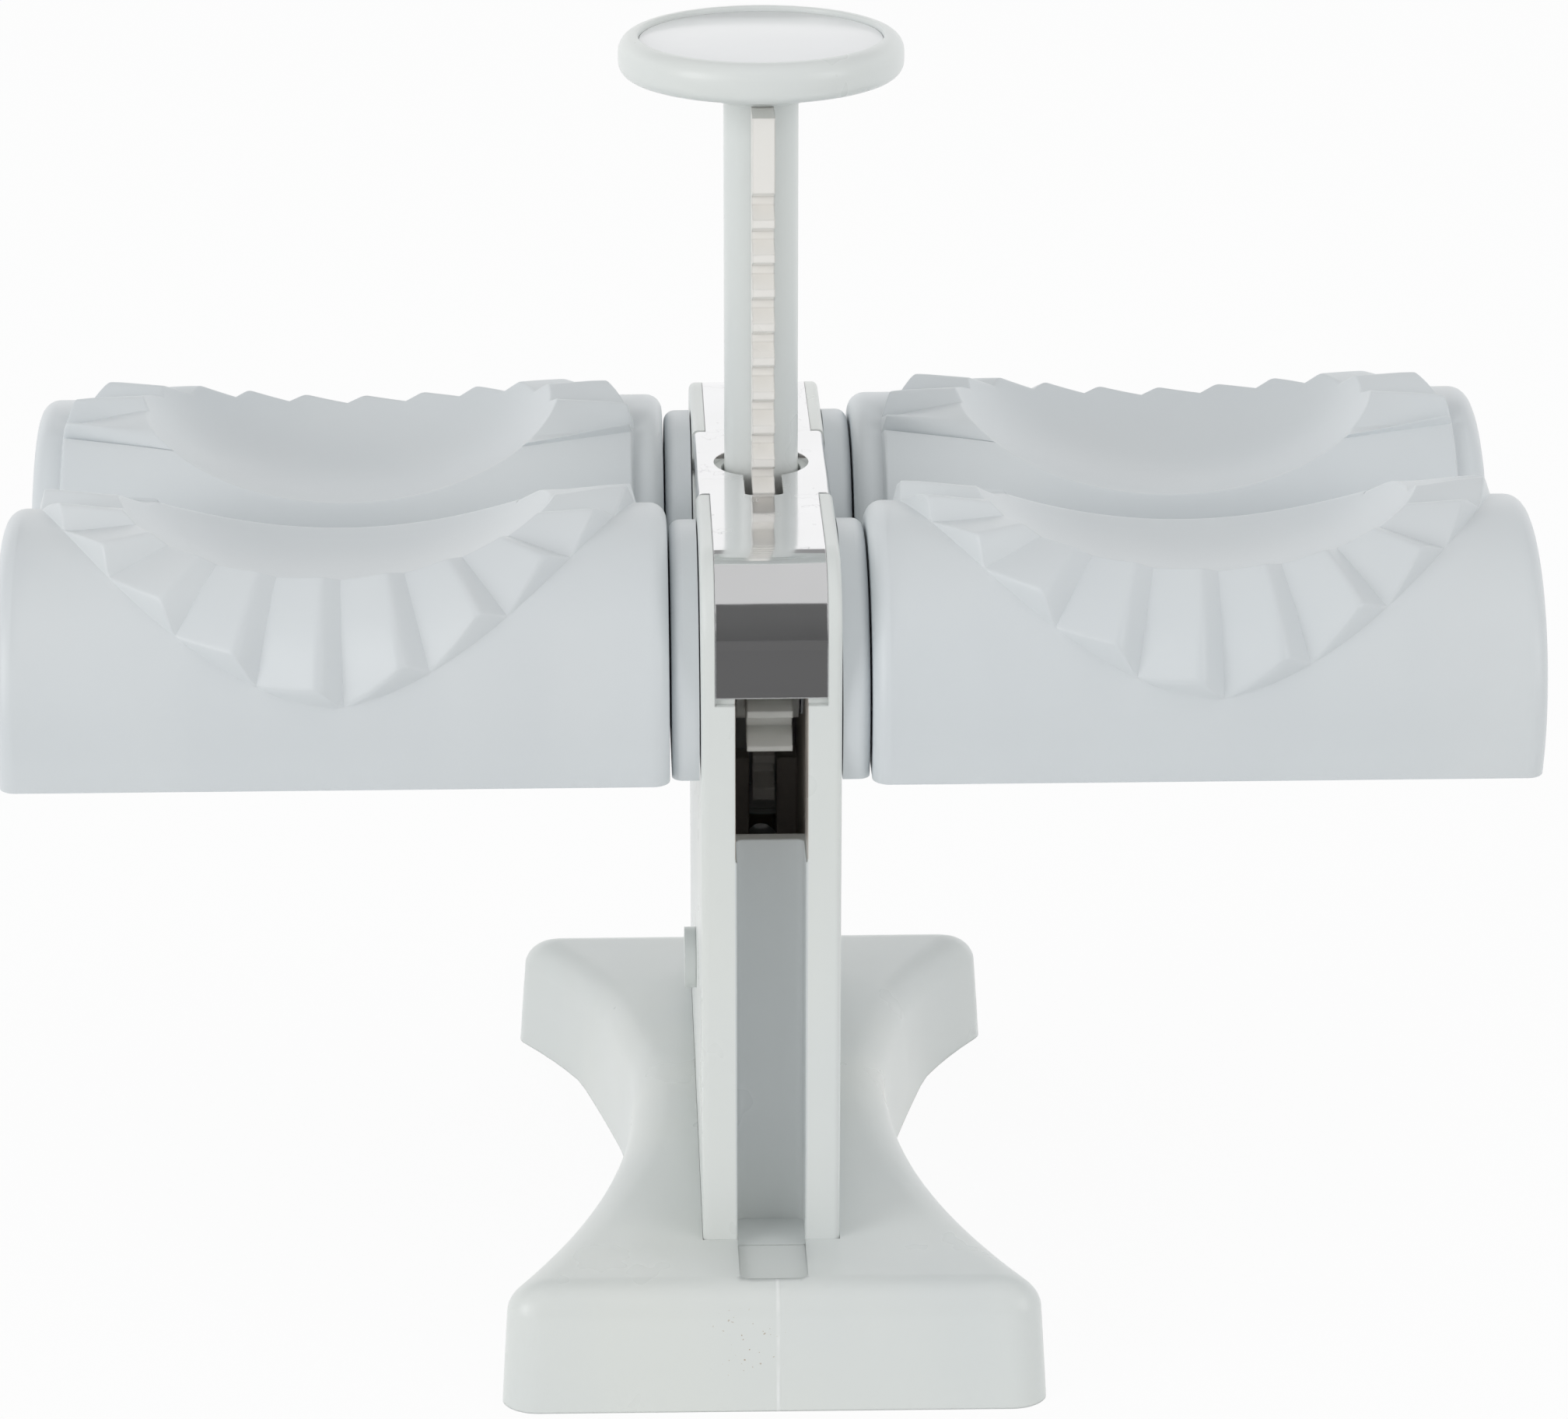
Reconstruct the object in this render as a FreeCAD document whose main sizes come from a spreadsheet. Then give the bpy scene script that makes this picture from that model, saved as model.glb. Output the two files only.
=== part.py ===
import FreeCAD, Part
import math
import os
import re
import Sketcher
from FreeCAD import Placement, Rotation, Vector

# A hand press for small filled pastries. A round button drives a toothed plunger down through
# an upright column; the teeth turn two rollers, each with a pair of half-barrel moulds, and the
# moulds fold the dough in half and pleat its edge.
# X runs along the rollers, Y from the front to the rear, Z up; the origin is under the middle.

doc = FreeCAD.newDocument("folding_press")

# Driving sizes, in millimetres and degrees
driving = {
    # foot
    "foot_length": 148.7,
    "foot_width": 84.0,
    "foot_height": 20.0,
    "foot_wall": 2.5,
    "foot_draft": 4.5,
    "foot_corner": 4.5,
    "foot_round": 5.5,
    "waist_half": 21.5,
    "corner_bite": 0.8,
    "seat_block": 8.0,
    "seat_edge": 3.0,
    "rib_thick": 2.0,
    "rib_lift": 2.0,
    "deck_recess": 1.0,
    "deck_recess_end": 68.5,
    # column
    "column_length": 109.6,
    "column_width": 21.4,
    "column_top": 130.3,
    "column_sunk": 2.0,
    "column_edge": 1.0,
    "chamber_width": 11.0,
    "chamber_floor": 83.5,
    "groove_width": 10.6,
    "groove_depth": 9.6,
    "groove_corner": 1.2,
    "groove_wall": 2.4,
    "pit_floor": 40.0,
    "guide_ledge": 5.5,
    # cover strap
    "strap_thick": 1.0,
    "strap_width": 17.0,
    "strap_bend": 12.5,
    "strap_end": 110.1,
    "strap_hole": 7.55,
    "rack_slot_width": 6.0,
    "rack_slot_reach": 17.2,
    "ear_half": 16.3,
    "ear_out": 10.5,
    "ear_end": 124.0,
    # rollers
    "axis_spread": 58.0,
    "axis_height": 104.5,
    "tooth_module": 1.75,
    "gear_teeth": 18.0,
    "gear_width": 7.0,
    "gear_hub": 6.5,
    "gear_hub_length": 9.8,
    "first_tooth": -20.0,
    "sector_teeth": 12.0,
    "tooth_play": 0.16,
    "shaft_side": 6.0,
    "shaft_length": 80.0,
    "hub_radius": 24.5,
    "hub_thick": 4.2,
    "hub_flat": 8.6,
    "hub_round": 1.8,
    "journal_radius": 6.0,
    # plunger
    "stem_radius": 5.85,
    "stem_bore": 4.4,
    "bore_top": 150.0,
    "stem_foot": 72.3,
    "rib_width": 3.5,
    "rack_top": 177.0,
    "ring_radius": 7.0,
    "ring_height": 4.0,
    "button_base": 190.0,
    "button_height": 10.5,
    "button_radius": 22.2,
    "button_socket": 2.0,
    "plate_radius": 19.0,
    "plate_thick": 1.5,
    "plate_sunk": 0.8,
    # spring and its guide
    "guide_flange": 6.0,
    "flange_thick": 2.5,
    "post_radius": 2.5,
    "post_top": 68.0,
    "wire_radius": 0.3,
    "coil_radius": 3.55,
    "coil_turns": 16.0,
    "coil_gap": 0.6,
    # moulds
    "mould_length": 102.1,
    "mould_radius": 27.2,
    "mould_wall": 2.4,
    "mould_flat": 8.5,
    "mould_round": 2.7,
    "sleeve_radius": 5.5,
    "sleeve_wall": 2.5,
    "dish_half_length": 35.7,
    "dish_half_width": 32.6,
    "dish_depth": 20.0,
    "dish_lift": 36.0,
    "dish_turn": 7.3,
    "pleat_half_width": 46.4,
    "pleat_rise": 50.9,
    "pleat_bulge": 1.56,
    "pleat_crown": 0.641,
    "pleat_start": -10.0,
    "pleat_slip": 0.24,
    "pleat_height": 3.2,
    "pleat_pitch": 16.4,
    "pleat_drop": 4.6,
    "pleat_setback": 3.0,
    "pleat_count": 6.0,
    "pleat_tail": 3.0,
    "nip_gap": 0.3,
    "apron_drop": 0.15,
    "apron_join": -24.0,
    "apron_turn": 45.0,
    "skin_radius": 29.5,
    "rim_half_length": 35.0,
    "rim_half_width": 26.3,
    "rim_middle": -6.0,
    "rim_dip": 5.0,
    "rim_overlap": 6.0,
    # small fasteners, the side plug and the fits
    "screw_radius": 1.6,
    "screw_head": 3.0,
    "screw_head_thick": 2.0,
    "screw_grip": 14.0,
    "screw_near": 22.0,
    "screw_far": 38.0,
    "plug_radius": 5.0,
    "plug_stand": 1.9,
    "plug_shank": 3.0,
    "plug_height": 45.0,
    "fit": 0.05,
    "slide_fit": 0.45,
    "rest_gap": 0.3,
}

sizes = doc.addObject("Spreadsheet::Sheet", "sizes")
for row, (word, number) in enumerate(driving.items(), 1):
    sizes.set(f"A{row}", word)
    sizes.set(f"B{row}", str(number))
    sizes.setAlias(f"B{row}", word)
doc.recompute()


def size(word):
    return float(sizes.get(word))


def formula(text):
    # puts the sheet's name ahead of each of its aliases
    return re.sub(r"[a-z]\w+", lambda found: "sizes." + found[0] if found[0] in driving else found[0], text)


def bind(item, setting, text):
    item.setExpression(setting, formula(text))


def new_body(name):
    body = doc.addObject("PartDesign::Body", name)
    body.Label = name
    return body


def new_sketch(body, name, role="XY_Plane", offset="0"):
    sketch = body.newObject("Sketcher::SketchObject", f"{body.Name}_{name}")
    plane = next(part for part in body.Origin.OriginFeatures if part.Role == role)
    sketch.AttachmentSupport = (plane, [""])
    sketch.MapMode = "FlatFace"
    bind(sketch, "AttachmentOffset.Base.z", offset)
    return sketch


def pin(sketch, shape, point, start, across, up):
    # fixes a point of a sketch at two formulas
    for kind, value, text in (("DistanceX", start.x, across), ("DistanceY", start.y, up)):
        index = sketch.addConstraint(Sketcher.Constraint(kind, -1, 1, shape, point, value))
        bind(sketch, f"Constraints[{index}]", text)


def outline(sketch, corners):
    # closed outline of straight lines; it starts as a ring and the formulas pull it into shape
    count = len(corners)
    first = sketch.GeometryCount
    ring = []
    for step in range(count):
        turn = 2 * math.pi * step / count
        ring.append(Vector(10 * math.cos(turn), 10 * math.sin(turn), 0))
    for step in range(count):
        sketch.addGeometry(Part.LineSegment(ring[step], ring[(step + 1) % count]))
    for step in range(count):
        following = first + (step + 1) % count
        sketch.addConstraint(Sketcher.Constraint("Coincident", first + step, 2, following, 1))
    for step, (across, up) in enumerate(corners):
        pin(sketch, first + step, 1, ring[step], across, up)


def rectangle(sketch, left, right, low, high):
    outline(sketch, [(left, low), (right, low), (right, high), (left, high)])


def circle(sketch, across, up, radius):
    middle = Vector(0, 0, 0)
    index = sketch.addGeometry(Part.Circle(middle, Vector(0, 0, 1), 1))
    pin(sketch, index, 3, middle, across, up)
    limit = sketch.addConstraint(Sketcher.Constraint("Radius", index, 1))
    bind(sketch, f"Constraints[{limit}]", radius)


def extrude(kind, sketch, length, both_ways=False, backwards=False, through=False):
    body = sketch.getParentGeoFeatureGroup()
    feature = body.newObject(f"PartDesign::{kind}", f"{sketch.Name}_{kind.lower()}")
    feature.Profile = sketch
    if through:
        feature.Type = "ThroughAll"
    else:
        bind(feature, "Length", length)
    if both_ways:
        feature.SideType = "Symmetric"
    feature.Reversed = backwards
    return feature


def pad(sketch, length, **ways):
    return extrude("Pad", sketch, length, **ways)


def pocket(sketch, length="0", **ways):
    return extrude("Pocket", sketch, length, **ways)


def revolve(sketch):
    body = sketch.getParentGeoFeatureGroup()
    turned = body.newObject("PartDesign::Revolution", f"{sketch.Name}_revolution")
    turned.Profile = sketch
    turned.ReferenceAxis = (sketch, ["V_Axis"])
    turned.Angle = 360
    return turned


def smooth(base, word, radius, wanted, kind="Fillet"):
    # rounds or bevels the edges of a feature that pass the test
    doc.recompute()
    names = [f"Edge{index}" for index, edge in enumerate(base.Shape.Edges, 1) if wanted(edge)]
    body = base.getParentGeoFeatureGroup()
    feature = body.newObject(f"PartDesign::{kind}", f"{body.Name}_{word}")
    feature.Base = (base, names)
    bind(feature, "Radius" if kind == "Fillet" else "Size", radius)
    return feature


def near(value, target):
    return abs(value - target) < 0.01


def lies_at(edge, x=None, y=None, z=None):
    # true where the whole edge has the given distances from the middle planes
    box = edge.BoundBox
    for target, low, high in ((x, box.XMin, box.XMax), (y, box.YMin, box.YMax), (z, box.ZMin, box.ZMax)):
        if target is not None and not (near(low, high) and near(abs(low), target)):
            return False
    return True


def cylinder(name, radius, length, across="0", along="0", up="0"):
    rod = doc.addObject("Part::Cylinder", name)
    bind(rod, "Radius", radius)
    bind(rod, "Height", length)
    for axis, text in (("x", across), ("y", along), ("z", up)):
        bind(rod, f"Placement.Base.{axis}", text)
    return rod


def combine(kind, name, base, tool):
    made = doc.addObject(f"Part::{kind}", name)
    made.Base = base
    made.Tool = tool
    return made


# Foot: waisted tray with drafted sides, hollow underneath

def make_base():
    body = new_body("base")
    plan = new_sketch(body, "plan")
    rectangle(plan, "-foot_width / 2", "foot_width / 2", "-foot_length / 2", "foot_length / 2")
    block = pad(plan, "foot_height")
    bind(block, "TaperAngle", "-foot_draft")
    # each waist is one arc that ends just inside the foot's corners
    depth = "(foot_width / 2 - corner_bite - waist_half)"
    waist_arc = f"((foot_length ^ 2 / 4 + {depth} ^ 2) / (2 * {depth}))"
    waist = new_sketch(body, "waist")
    for sign in ("", "-"):
        circle(waist, f"{sign}(waist_half + {waist_arc})", "0", waist_arc)
    sides = pocket(waist, "foot_height", backwards=True)
    bind(sides, "TaperAngle", "foot_draft")
    half = size("foot_length") / 2

    def is_corner(edge):
        box = edge.BoundBox
        upright = box.ZLength > size("foot_height") - 0.1
        return upright and min(abs(box.YMin), abs(box.YMax)) > half - 3

    corners = smooth(sides, "corners", "foot_corner", is_corner)
    rim = smooth(corners, "rim", "foot_round", lambda edge: lies_at(edge, z=size("foot_height")))
    doc.recompute()
    bottom = next(f"Face{index}" for index, face in enumerate(rim.Shape.Faces, 1)
                  if near(face.BoundBox.ZMax, 0))
    shell = body.newObject("PartDesign::Thickness", "base_shell")
    shell.Base = (rim, [bottom])
    bind(shell, "Value", "foot_wall")
    shell.Reversed = True

    seat = new_sketch(body, "seat", offset="foot_height - seat_block")
    rectangle(seat, "-(column_width / 2 + seat_edge)", "column_width / 2 + seat_edge",
              "-(column_length / 2 + seat_edge)", "column_length / 2 + seat_edge")
    pad(seat, "seat_block - foot_wall / 2")
    ribs = new_sketch(body, "ribs", offset="rib_lift")
    rectangle(ribs, "-rib_thick / 2", "rib_thick / 2",
              "-(foot_length / 2 - foot_wall - rib_lift)", "foot_length / 2 - foot_wall - rib_lift")
    pad(ribs, "foot_height - foot_wall / 2 - rib_lift")
    for word, place in (("front_rib", "-(column_length / 2)"), ("rear_rib", "column_length / 2")):
        rib = new_sketch(body, word, offset="rib_lift")
        rectangle(rib, "-(waist_half + rib_lift)", "waist_half + rib_lift",
                  f"{place} - rib_thick / 2", f"{place} + rib_thick / 2")
        pad(rib, "foot_height - foot_wall / 2 - rib_lift")

    well = new_sketch(body, "well", offset="foot_height")
    rectangle(well, "-(column_width / 2 + fit)", "column_width / 2 + fit",
              "-(column_length / 2 + fit)", "column_length / 2 + fit")
    pocket(well, "column_sunk")
    recess = new_sketch(body, "recess", offset="foot_height")
    rectangle(recess, "-groove_width / 2", "groove_width / 2", "-deck_recess_end", "deck_recess_end")
    dip = pocket(recess, "deck_recess")

    def is_recess_corner(edge):
        return lies_at(edge, x=size("groove_width") / 2, y=size("deck_recess_end"))

    smooth(dip, "recess_corners", "deck_recess * 1.5", is_recess_corner)
    holes = new_sketch(body, "screw_holes", offset="foot_height")
    for place in ("screw_near", "-screw_near", "screw_far", "-screw_far", "0"):
        circle(holes, "0", place, "screw_radius + fit")
    pocket(holes, through=True)
    heads = new_sketch(body, "screw_heads", offset="foot_height - seat_block")
    for place in ("screw_near", "-screw_near", "screw_far", "-screw_far", "0"):
        circle(heads, "0", place, "screw_head + 4 * fit")
    pocket(heads, through=True)
    return body


# Column: two side walls with the gear chamber between them

def make_column():
    body = new_body("column")
    foot = "foot_height - column_sunk"
    side = new_sketch(body, "side", "YZ_Plane")
    rectangle(side, "-column_length / 2", "column_length / 2", foot, "column_top")
    pad(side, "column_width", both_ways=True)

    # rebate that lets the strap lie flush between two thin outer strips
    inner = "column_length / 2 - strap_thick"
    rebate = new_sketch(body, "rebate", "YZ_Plane")
    outline(rebate, [
        ("-column_length", "strap_end - rest_gap * 4"),
        (f"-({inner})", "strap_end - rest_gap * 4"),
        (f"-({inner})", "column_top - strap_thick"),
        (inner, "column_top - strap_thick"),
        (inner, "strap_end - rest_gap * 4"),
        ("column_length", "strap_end - rest_gap * 4"),
        ("column_length", "column_top * 2"),
        ("-column_length", "column_top * 2"),
    ])
    cut = pocket(rebate, "strap_width + 2 * fit", both_ways=True)
    half = size("column_length") / 2
    top = size("column_top")
    strap = size("strap_thick")
    bend = smooth(cut, "inner_bend", "strap_bend - strap_thick",
                  lambda edge: lies_at(edge, y=half - strap, z=top - strap))
    shoulders = smooth(bend, "outer_bend", "strap_bend", lambda edge: lies_at(edge, y=half, z=top))
    smooth(shoulders, "upright_edges", "column_edge",
           lambda edge: lies_at(edge, x=size("column_width") / 2, y=half))

    chamber = new_sketch(body, "chamber", "XZ_Plane")
    rectangle(chamber, "-chamber_width / 2", "chamber_width / 2", "chamber_floor", "column_top * 2")
    pocket(chamber, "column_length * 2", both_ways=True)

    # room for the strap's ears
    notch = new_sketch(body, "notch", "XZ_Plane")
    for sign in ("", "-"):
        outline(notch, [
            (f"{sign}(strap_width / 2 - 2 * strap_thick)", "column_top - strap_thick"),
            (f"{sign}(ear_out - strap_thick - fit)", "column_top - strap_thick"),
            (f"{sign}(ear_out - strap_thick - fit)", "ear_end - rest_gap"),
            (f"{sign}column_width", "ear_end - rest_gap"),
            (f"{sign}column_width", "column_top * 2"),
            (f"{sign}(strap_width / 2 - 2 * strap_thick)", "column_top * 2"),
        ])
    pocket(notch, "2 * ear_half + 4 * rest_gap", both_ways=True)

    # groove down the front and the rear, and a pit in the chamber's floor behind each one's wall
    lift = "foot_height - deck_recess"
    back = "(column_length / 2 - groove_depth)"
    for word, sign in (("front", "-"), ("rear", "")):
        channel = new_sketch(body, f"{word}_groove", offset=lift)
        rectangle(channel, "-groove_width / 2", "groove_width / 2", f"{sign}{back}", f"{sign}(column_length)")
        groove = pocket(channel, f"chamber_floor - ({lift})", backwards=True)
    back_wall = size("column_length") / 2 - size("groove_depth")
    smooth(groove, "groove_corners", "groove_corner",
           lambda edge: lies_at(edge, x=size("groove_width") / 2, y=back_wall))
    pits = new_sketch(body, "pits", offset="pit_floor")
    for sign in ("", "-"):
        rectangle(pits, "-chamber_width / 2", "chamber_width / 2",
                  f"{sign}(ring_radius + rest_gap + groove_wall)", f"{sign}({back} - groove_wall)")
    pocket(pits, "chamber_floor - pit_floor", backwards=True)

    # guide for the stem, room for the stop ring below it, and slots for the two racks
    well = new_sketch(body, "well", offset="foot_height")
    circle(well, "0", "0", "ring_radius + rest_gap")
    pocket(well, "chamber_floor - foot_height - guide_ledge", backwards=True)
    guide = new_sketch(body, "guide", offset="foot_height")
    circle(guide, "0", "0", "stem_radius + slide_fit")
    pocket(guide, "column_top", backwards=True)
    slots = new_sketch(body, "rack_slots", offset="foot_height")
    reach = "axis_spread / 2 - tooth_module * (gear_teeth / 2 - 1) + 2 * slide_fit"
    rectangle(slots, "-(rib_width / 2 + slide_fit)", "rib_width / 2 + slide_fit", f"-({reach})", reach)
    pocket(slots, "chamber_floor - foot_height", backwards=True)

    bores = new_sketch(body, "bores", "YZ_Plane")
    for sign in ("", "-"):
        circle(bores, f"{sign}axis_spread / 2", "axis_height", "journal_radius + fit")
    pocket(bores, "column_width * 2", both_ways=True)
    plug = new_sketch(body, "plug_hole", "YZ_Plane", "-column_width")
    circle(plug, "0", "plug_height", "plug_radius * 0.6 + fit")
    pocket(plug, "column_width / 2 + plug_shank + rest_gap", backwards=True)
    holes = new_sketch(body, "screw_holes", offset=foot)
    for place in ("screw_near", "-screw_near", "screw_far", "-screw_far"):
        circle(holes, "0", place, "screw_radius + fit")
    pocket(holes, "screw_grip - seat_block + column_sunk + rest_gap", backwards=True)
    middle = new_sketch(body, "guide_screw_hole", offset=foot)
    circle(middle, "0", "0", "screw_radius + fit")
    pocket(middle, "column_sunk", backwards=True)
    return body


# Bright strap bent over the column, with the plunger's opening and two ears

def make_cover_strap():
    body = new_body("cover_strap")
    half = "column_length / 2"
    inner = "column_length / 2 - strap_thick"
    side = new_sketch(body, "side", "YZ_Plane")
    outline(side, [
        (f"-{half}", "strap_end"), (f"-{half}", "column_top"),
        (half, "column_top"), (half, "strap_end"),
        (inner, "strap_end"), (inner, "column_top - strap_thick"),
        (f"-({inner})", "column_top - strap_thick"), (f"-({inner})", "strap_end"),
    ])
    band = pad(side, "strap_width", both_ways=True)
    reach = size("column_length") / 2
    top = size("column_top")
    thick = size("strap_thick")
    bend = smooth(band, "inner_bend", "strap_bend - strap_thick",
                  lambda edge: lies_at(edge, y=reach - thick, z=top - thick))
    smooth(bend, "outer_bend", "strap_bend", lambda edge: lies_at(edge, y=reach, z=top))
    ears = new_sketch(body, "ears", "XZ_Plane")
    for sign in ("", "-"):
        outline(ears, [
            (f"{sign}(strap_width / 2 - strap_thick)", "column_top - strap_thick"),
            (f"{sign}(ear_out - strap_thick)", "column_top - strap_thick"),
            (f"{sign}(ear_out - strap_thick)", "ear_end"),
            (f"{sign}ear_out", "ear_end"),
            (f"{sign}ear_out", "column_top"),
            (f"{sign}(strap_width / 2 - strap_thick)", "column_top"),
        ])
    flaps = pad(ears, "2 * ear_half", both_ways=True)
    smooth(flaps, "ear_bends", "strap_thick", lambda edge: lies_at(edge, x=size("ear_out"), z=top))
    hole = new_sketch(body, "hole", offset="column_top")
    circle(hole, "0", "0", "strap_hole")
    pocket(hole, "2 * strap_thick")
    slots = new_sketch(body, "slots", offset="column_top")
    rectangle(slots, "-rack_slot_width / 2", "rack_slot_width / 2", "-rack_slot_reach", "rack_slot_reach")
    opening = pocket(slots, "2 * strap_thick")
    smooth(opening, "slot_corners", "strap_thick",
           lambda edge: lies_at(edge, x=size("rack_slot_width") / 2, y=size("rack_slot_reach")))
    return body


# Plunger: hollow stem with a rack at the front and one at the rear

def make_plunger():
    body = new_body("plunger")
    stem = new_sketch(body, "stem", offset="stem_foot")
    circle(stem, "0", "0", "stem_radius")
    pad(stem, "button_base + button_socket - stem_foot")
    ribs = new_sketch(body, "ribs", offset="chamber_floor - guide_ledge + rest_gap")
    tip = "(axis_spread / 2 - tooth_module * (gear_teeth / 2 - 1))"
    rectangle(ribs, "-rib_width / 2", "rib_width / 2", f"-{tip}", tip)
    pad(ribs, "button_base - chamber_floor + guide_ledge - rest_gap")
    bore = new_sketch(body, "bore", offset="stem_foot")
    circle(bore, "0", "0", "stem_bore")
    pocket(bore, "bore_top - stem_foot", backwards=True)

    # one gap between teeth on each side, repeated up the rib
    pitch = "(pi * tooth_module)"
    below = math.floor((size("axis_height") - size("chamber_floor")) / (math.pi * size("tooth_module")))
    above = math.floor((size("rack_top") - size("axis_height")) / (math.pi * size("tooth_module")))
    centre = f"(axis_height - {below + 1} * {pitch})"
    gap = new_sketch(body, "gap", "YZ_Plane")
    slope = math.tan(math.radians(20))
    root = f"({tip} - 2.25 * tooth_module)"
    at_root = f"({pitch} / 4 + tooth_play / 2 - {slope} * 1.25 * tooth_module)"
    beyond = f"({pitch} / 4 + tooth_play / 2 + {slope} * 2 * tooth_module)"
    for sign in ("-", ""):
        outline(gap, [
            (f"{sign}{root}", f"{centre} - {at_root}"),
            (f"{sign}({tip} + tooth_module)", f"{centre} - {beyond}"),
            (f"{sign}({tip} + tooth_module)", f"{centre} + {beyond}"),
            (f"{sign}{root}", f"{centre} + {at_root}"),
        ])
    first = pocket(gap, "2 * rib_width", both_ways=True)
    rack = body.newObject("PartDesign::LinearPattern", "plunger_rack")
    rack.Originals = [first]
    rack.Direction = (new_sketch(body, "way", "YZ_Plane"), ["V_Axis"])
    rack.Occurrences = below + above + 2
    bind(rack, "Length", f"{below + above + 1} * {pitch}")
    body.Tip = rack
    pilot = new_sketch(body, "screw_hole", offset="button_base + button_socket")
    circle(pilot, "0", "0", "screw_radius + fit")
    pocket(pilot, "screw_grip")
    return body


def make_ring(name, outer, inner, low, height):
    wide = cylinder(f"{name}_outside", outer, height, up=low)
    narrow = cylinder(f"{name}_inside", inner, height, up=low)
    ring = combine("Cut", name, wide, narrow)
    ring.Label = name
    return ring


# Push button and the glossy disc let into it

def make_button_head():
    body = new_body("button_head")
    profile = new_sketch(body, "profile", "XZ_Plane")
    top = "button_base + button_height"
    floor = f"({top} - plate_sunk - plate_thick)"
    head = "(screw_head + 4 * fit)"
    outline(profile, [
        ("stem_radius + fit", "button_base"),
        ("button_radius", "button_base"),
        ("button_radius", top),
        ("plate_radius + fit", top),
        ("plate_radius + fit", floor),
        (head, floor),
        (head, f"{floor} - screw_head_thick"),
        ("screw_radius + fit", f"{floor} - screw_head_thick"),
        ("screw_radius + fit", "button_base + button_socket"),
        ("stem_radius + fit", "button_base + button_socket"),
    ])
    turned = revolve(profile)
    base = size("button_base")
    high = base + size("button_height")
    wide = size("button_radius")

    def around(edge, radius, level):
        return lies_at(edge, z=level) and near(edge.BoundBox.XMax, radius)

    top_round = smooth(turned, "top_round", "(button_radius - plate_radius) * 0.85", lambda edge: around(edge, wide, high))
    low_round = smooth(top_round, "low_round", "button_height * 0.35", lambda edge: around(edge, wide, base))
    smooth(low_round, "lip", "plate_sunk / 2",
           lambda edge: around(edge, size("plate_radius") + size("fit"), high))
    return body


def make_button_plate():
    body = new_body("button_plate")
    top = "(button_base + button_height - plate_sunk)"
    disc = new_sketch(body, "disc", offset=f"{top} - plate_thick")
    circle(disc, "0", "0", "plate_radius")
    plate = pad(disc, "plate_thick")
    level = size("button_base") + size("button_height") - size("plate_sunk")
    smooth(plate, "edge", "plate_thick / 5", lambda edge: lies_at(edge, z=level), "Chamfer")
    return body


# Screws: a shank, a round head below or above it and a cross recess

def make_screw(name, along, head_level, upright):
    # upright screws stand on their head; the others hang from it
    grip = "screw_grip"
    if upright:
        shank = cylinder(f"{name}_shank", "screw_radius", grip, along=along, up=head_level)
        head = cylinder(f"{name}_head", "screw_head", "screw_head_thick", along=along,
                        up=f"{head_level} - screw_head_thick")
        face = f"{head_level} - screw_head_thick"
    else:
        shank = cylinder(f"{name}_shank", "screw_radius", grip, along=along, up=f"{head_level} - {grip}")
        head = cylinder(f"{name}_head", "screw_head", "screw_head_thick", along=along, up=head_level)
        face = f"{head_level} + screw_head_thick / 2"
    whole = combine("Fuse", f"{name}_blank", shank, head)
    bars = []
    for word, wide, deep in (("bar_x", "screw_head", "screw_head / 4"), ("bar_y", "screw_head / 4", "screw_head")):
        bar = doc.addObject("Part::Box", f"{name}_{word}")
        bind(bar, "Length", wide)
        bind(bar, "Width", deep)
        bind(bar, "Height", "screw_head_thick / 2")
        bind(bar, "Placement.Base.x", f"-{wide} / 2")
        bind(bar, "Placement.Base.y", f"{along} - {deep} / 2")
        bind(bar, "Placement.Base.z", face)
        bars.append(bar)
    cross = combine("Fuse", f"{name}_cross", *bars)
    screw = combine("Cut", name, whole, cross)
    screw.Label = name
    return screw


def make_column_screws():
    group = doc.addObject("Part::Compound", "column_screws")
    group.Label = "column_screws"
    places = ("-screw_far", "-screw_near", "screw_near", "screw_far")
    screws = []
    for index, place in enumerate(places, 1):
        screws.append(make_screw(f"column_screw_{index}", place, "foot_height - seat_block", True))
    group.Links = screws
    return group


# Post inside the spring; its flange is the plunger's lower stop

def make_spring_guide():
    body = new_body("spring_guide")
    profile = new_sketch(body, "profile", "XZ_Plane")
    flange = "foot_height + flange_thick"
    pilot = "foot_height - seat_block + screw_grip + rest_gap"
    outline(profile, [
        ("screw_radius + fit", "foot_height"),
        ("guide_flange", "foot_height"),
        ("guide_flange", flange),
        ("post_radius", flange),
        ("post_radius", "post_top - post_radius / 2"),
        ("post_radius / 2", "post_top"),
        ("0", "post_top"),
        ("0", pilot),
        ("screw_radius + fit", pilot),
    ])
    revolve(profile)
    return body


def bend_between(start, start_way, finish, finish_way):
    # two arcs that leave the start and reach the finish in the given directions
    span = finish - start
    both = start_way + finish_way
    square = 2 * (1 - start_way.dot(finish_way))
    along = span.dot(both)
    reach = (-along + math.sqrt(along * along + 2 * square * span.dot(span) / 2)) / square
    middle = (start + finish + (start_way - finish_way) * reach) / 2
    arcs = []
    for point, way, other in ((start, start_way, middle), (finish, finish_way * -1, middle)):
        chord = other - point
        lean = way - chord * (way.dot(chord) / chord.dot(chord))
        half_turn = math.acos(min(1, way.dot(chord) / chord.Length)) / 2
        crown = (point + other) / 2 + lean.normalize() * (chord.Length / 2 * math.tan(half_turn))
        arcs.append(Part.Arc(point, crown, other).toShape())
    return arcs


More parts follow.
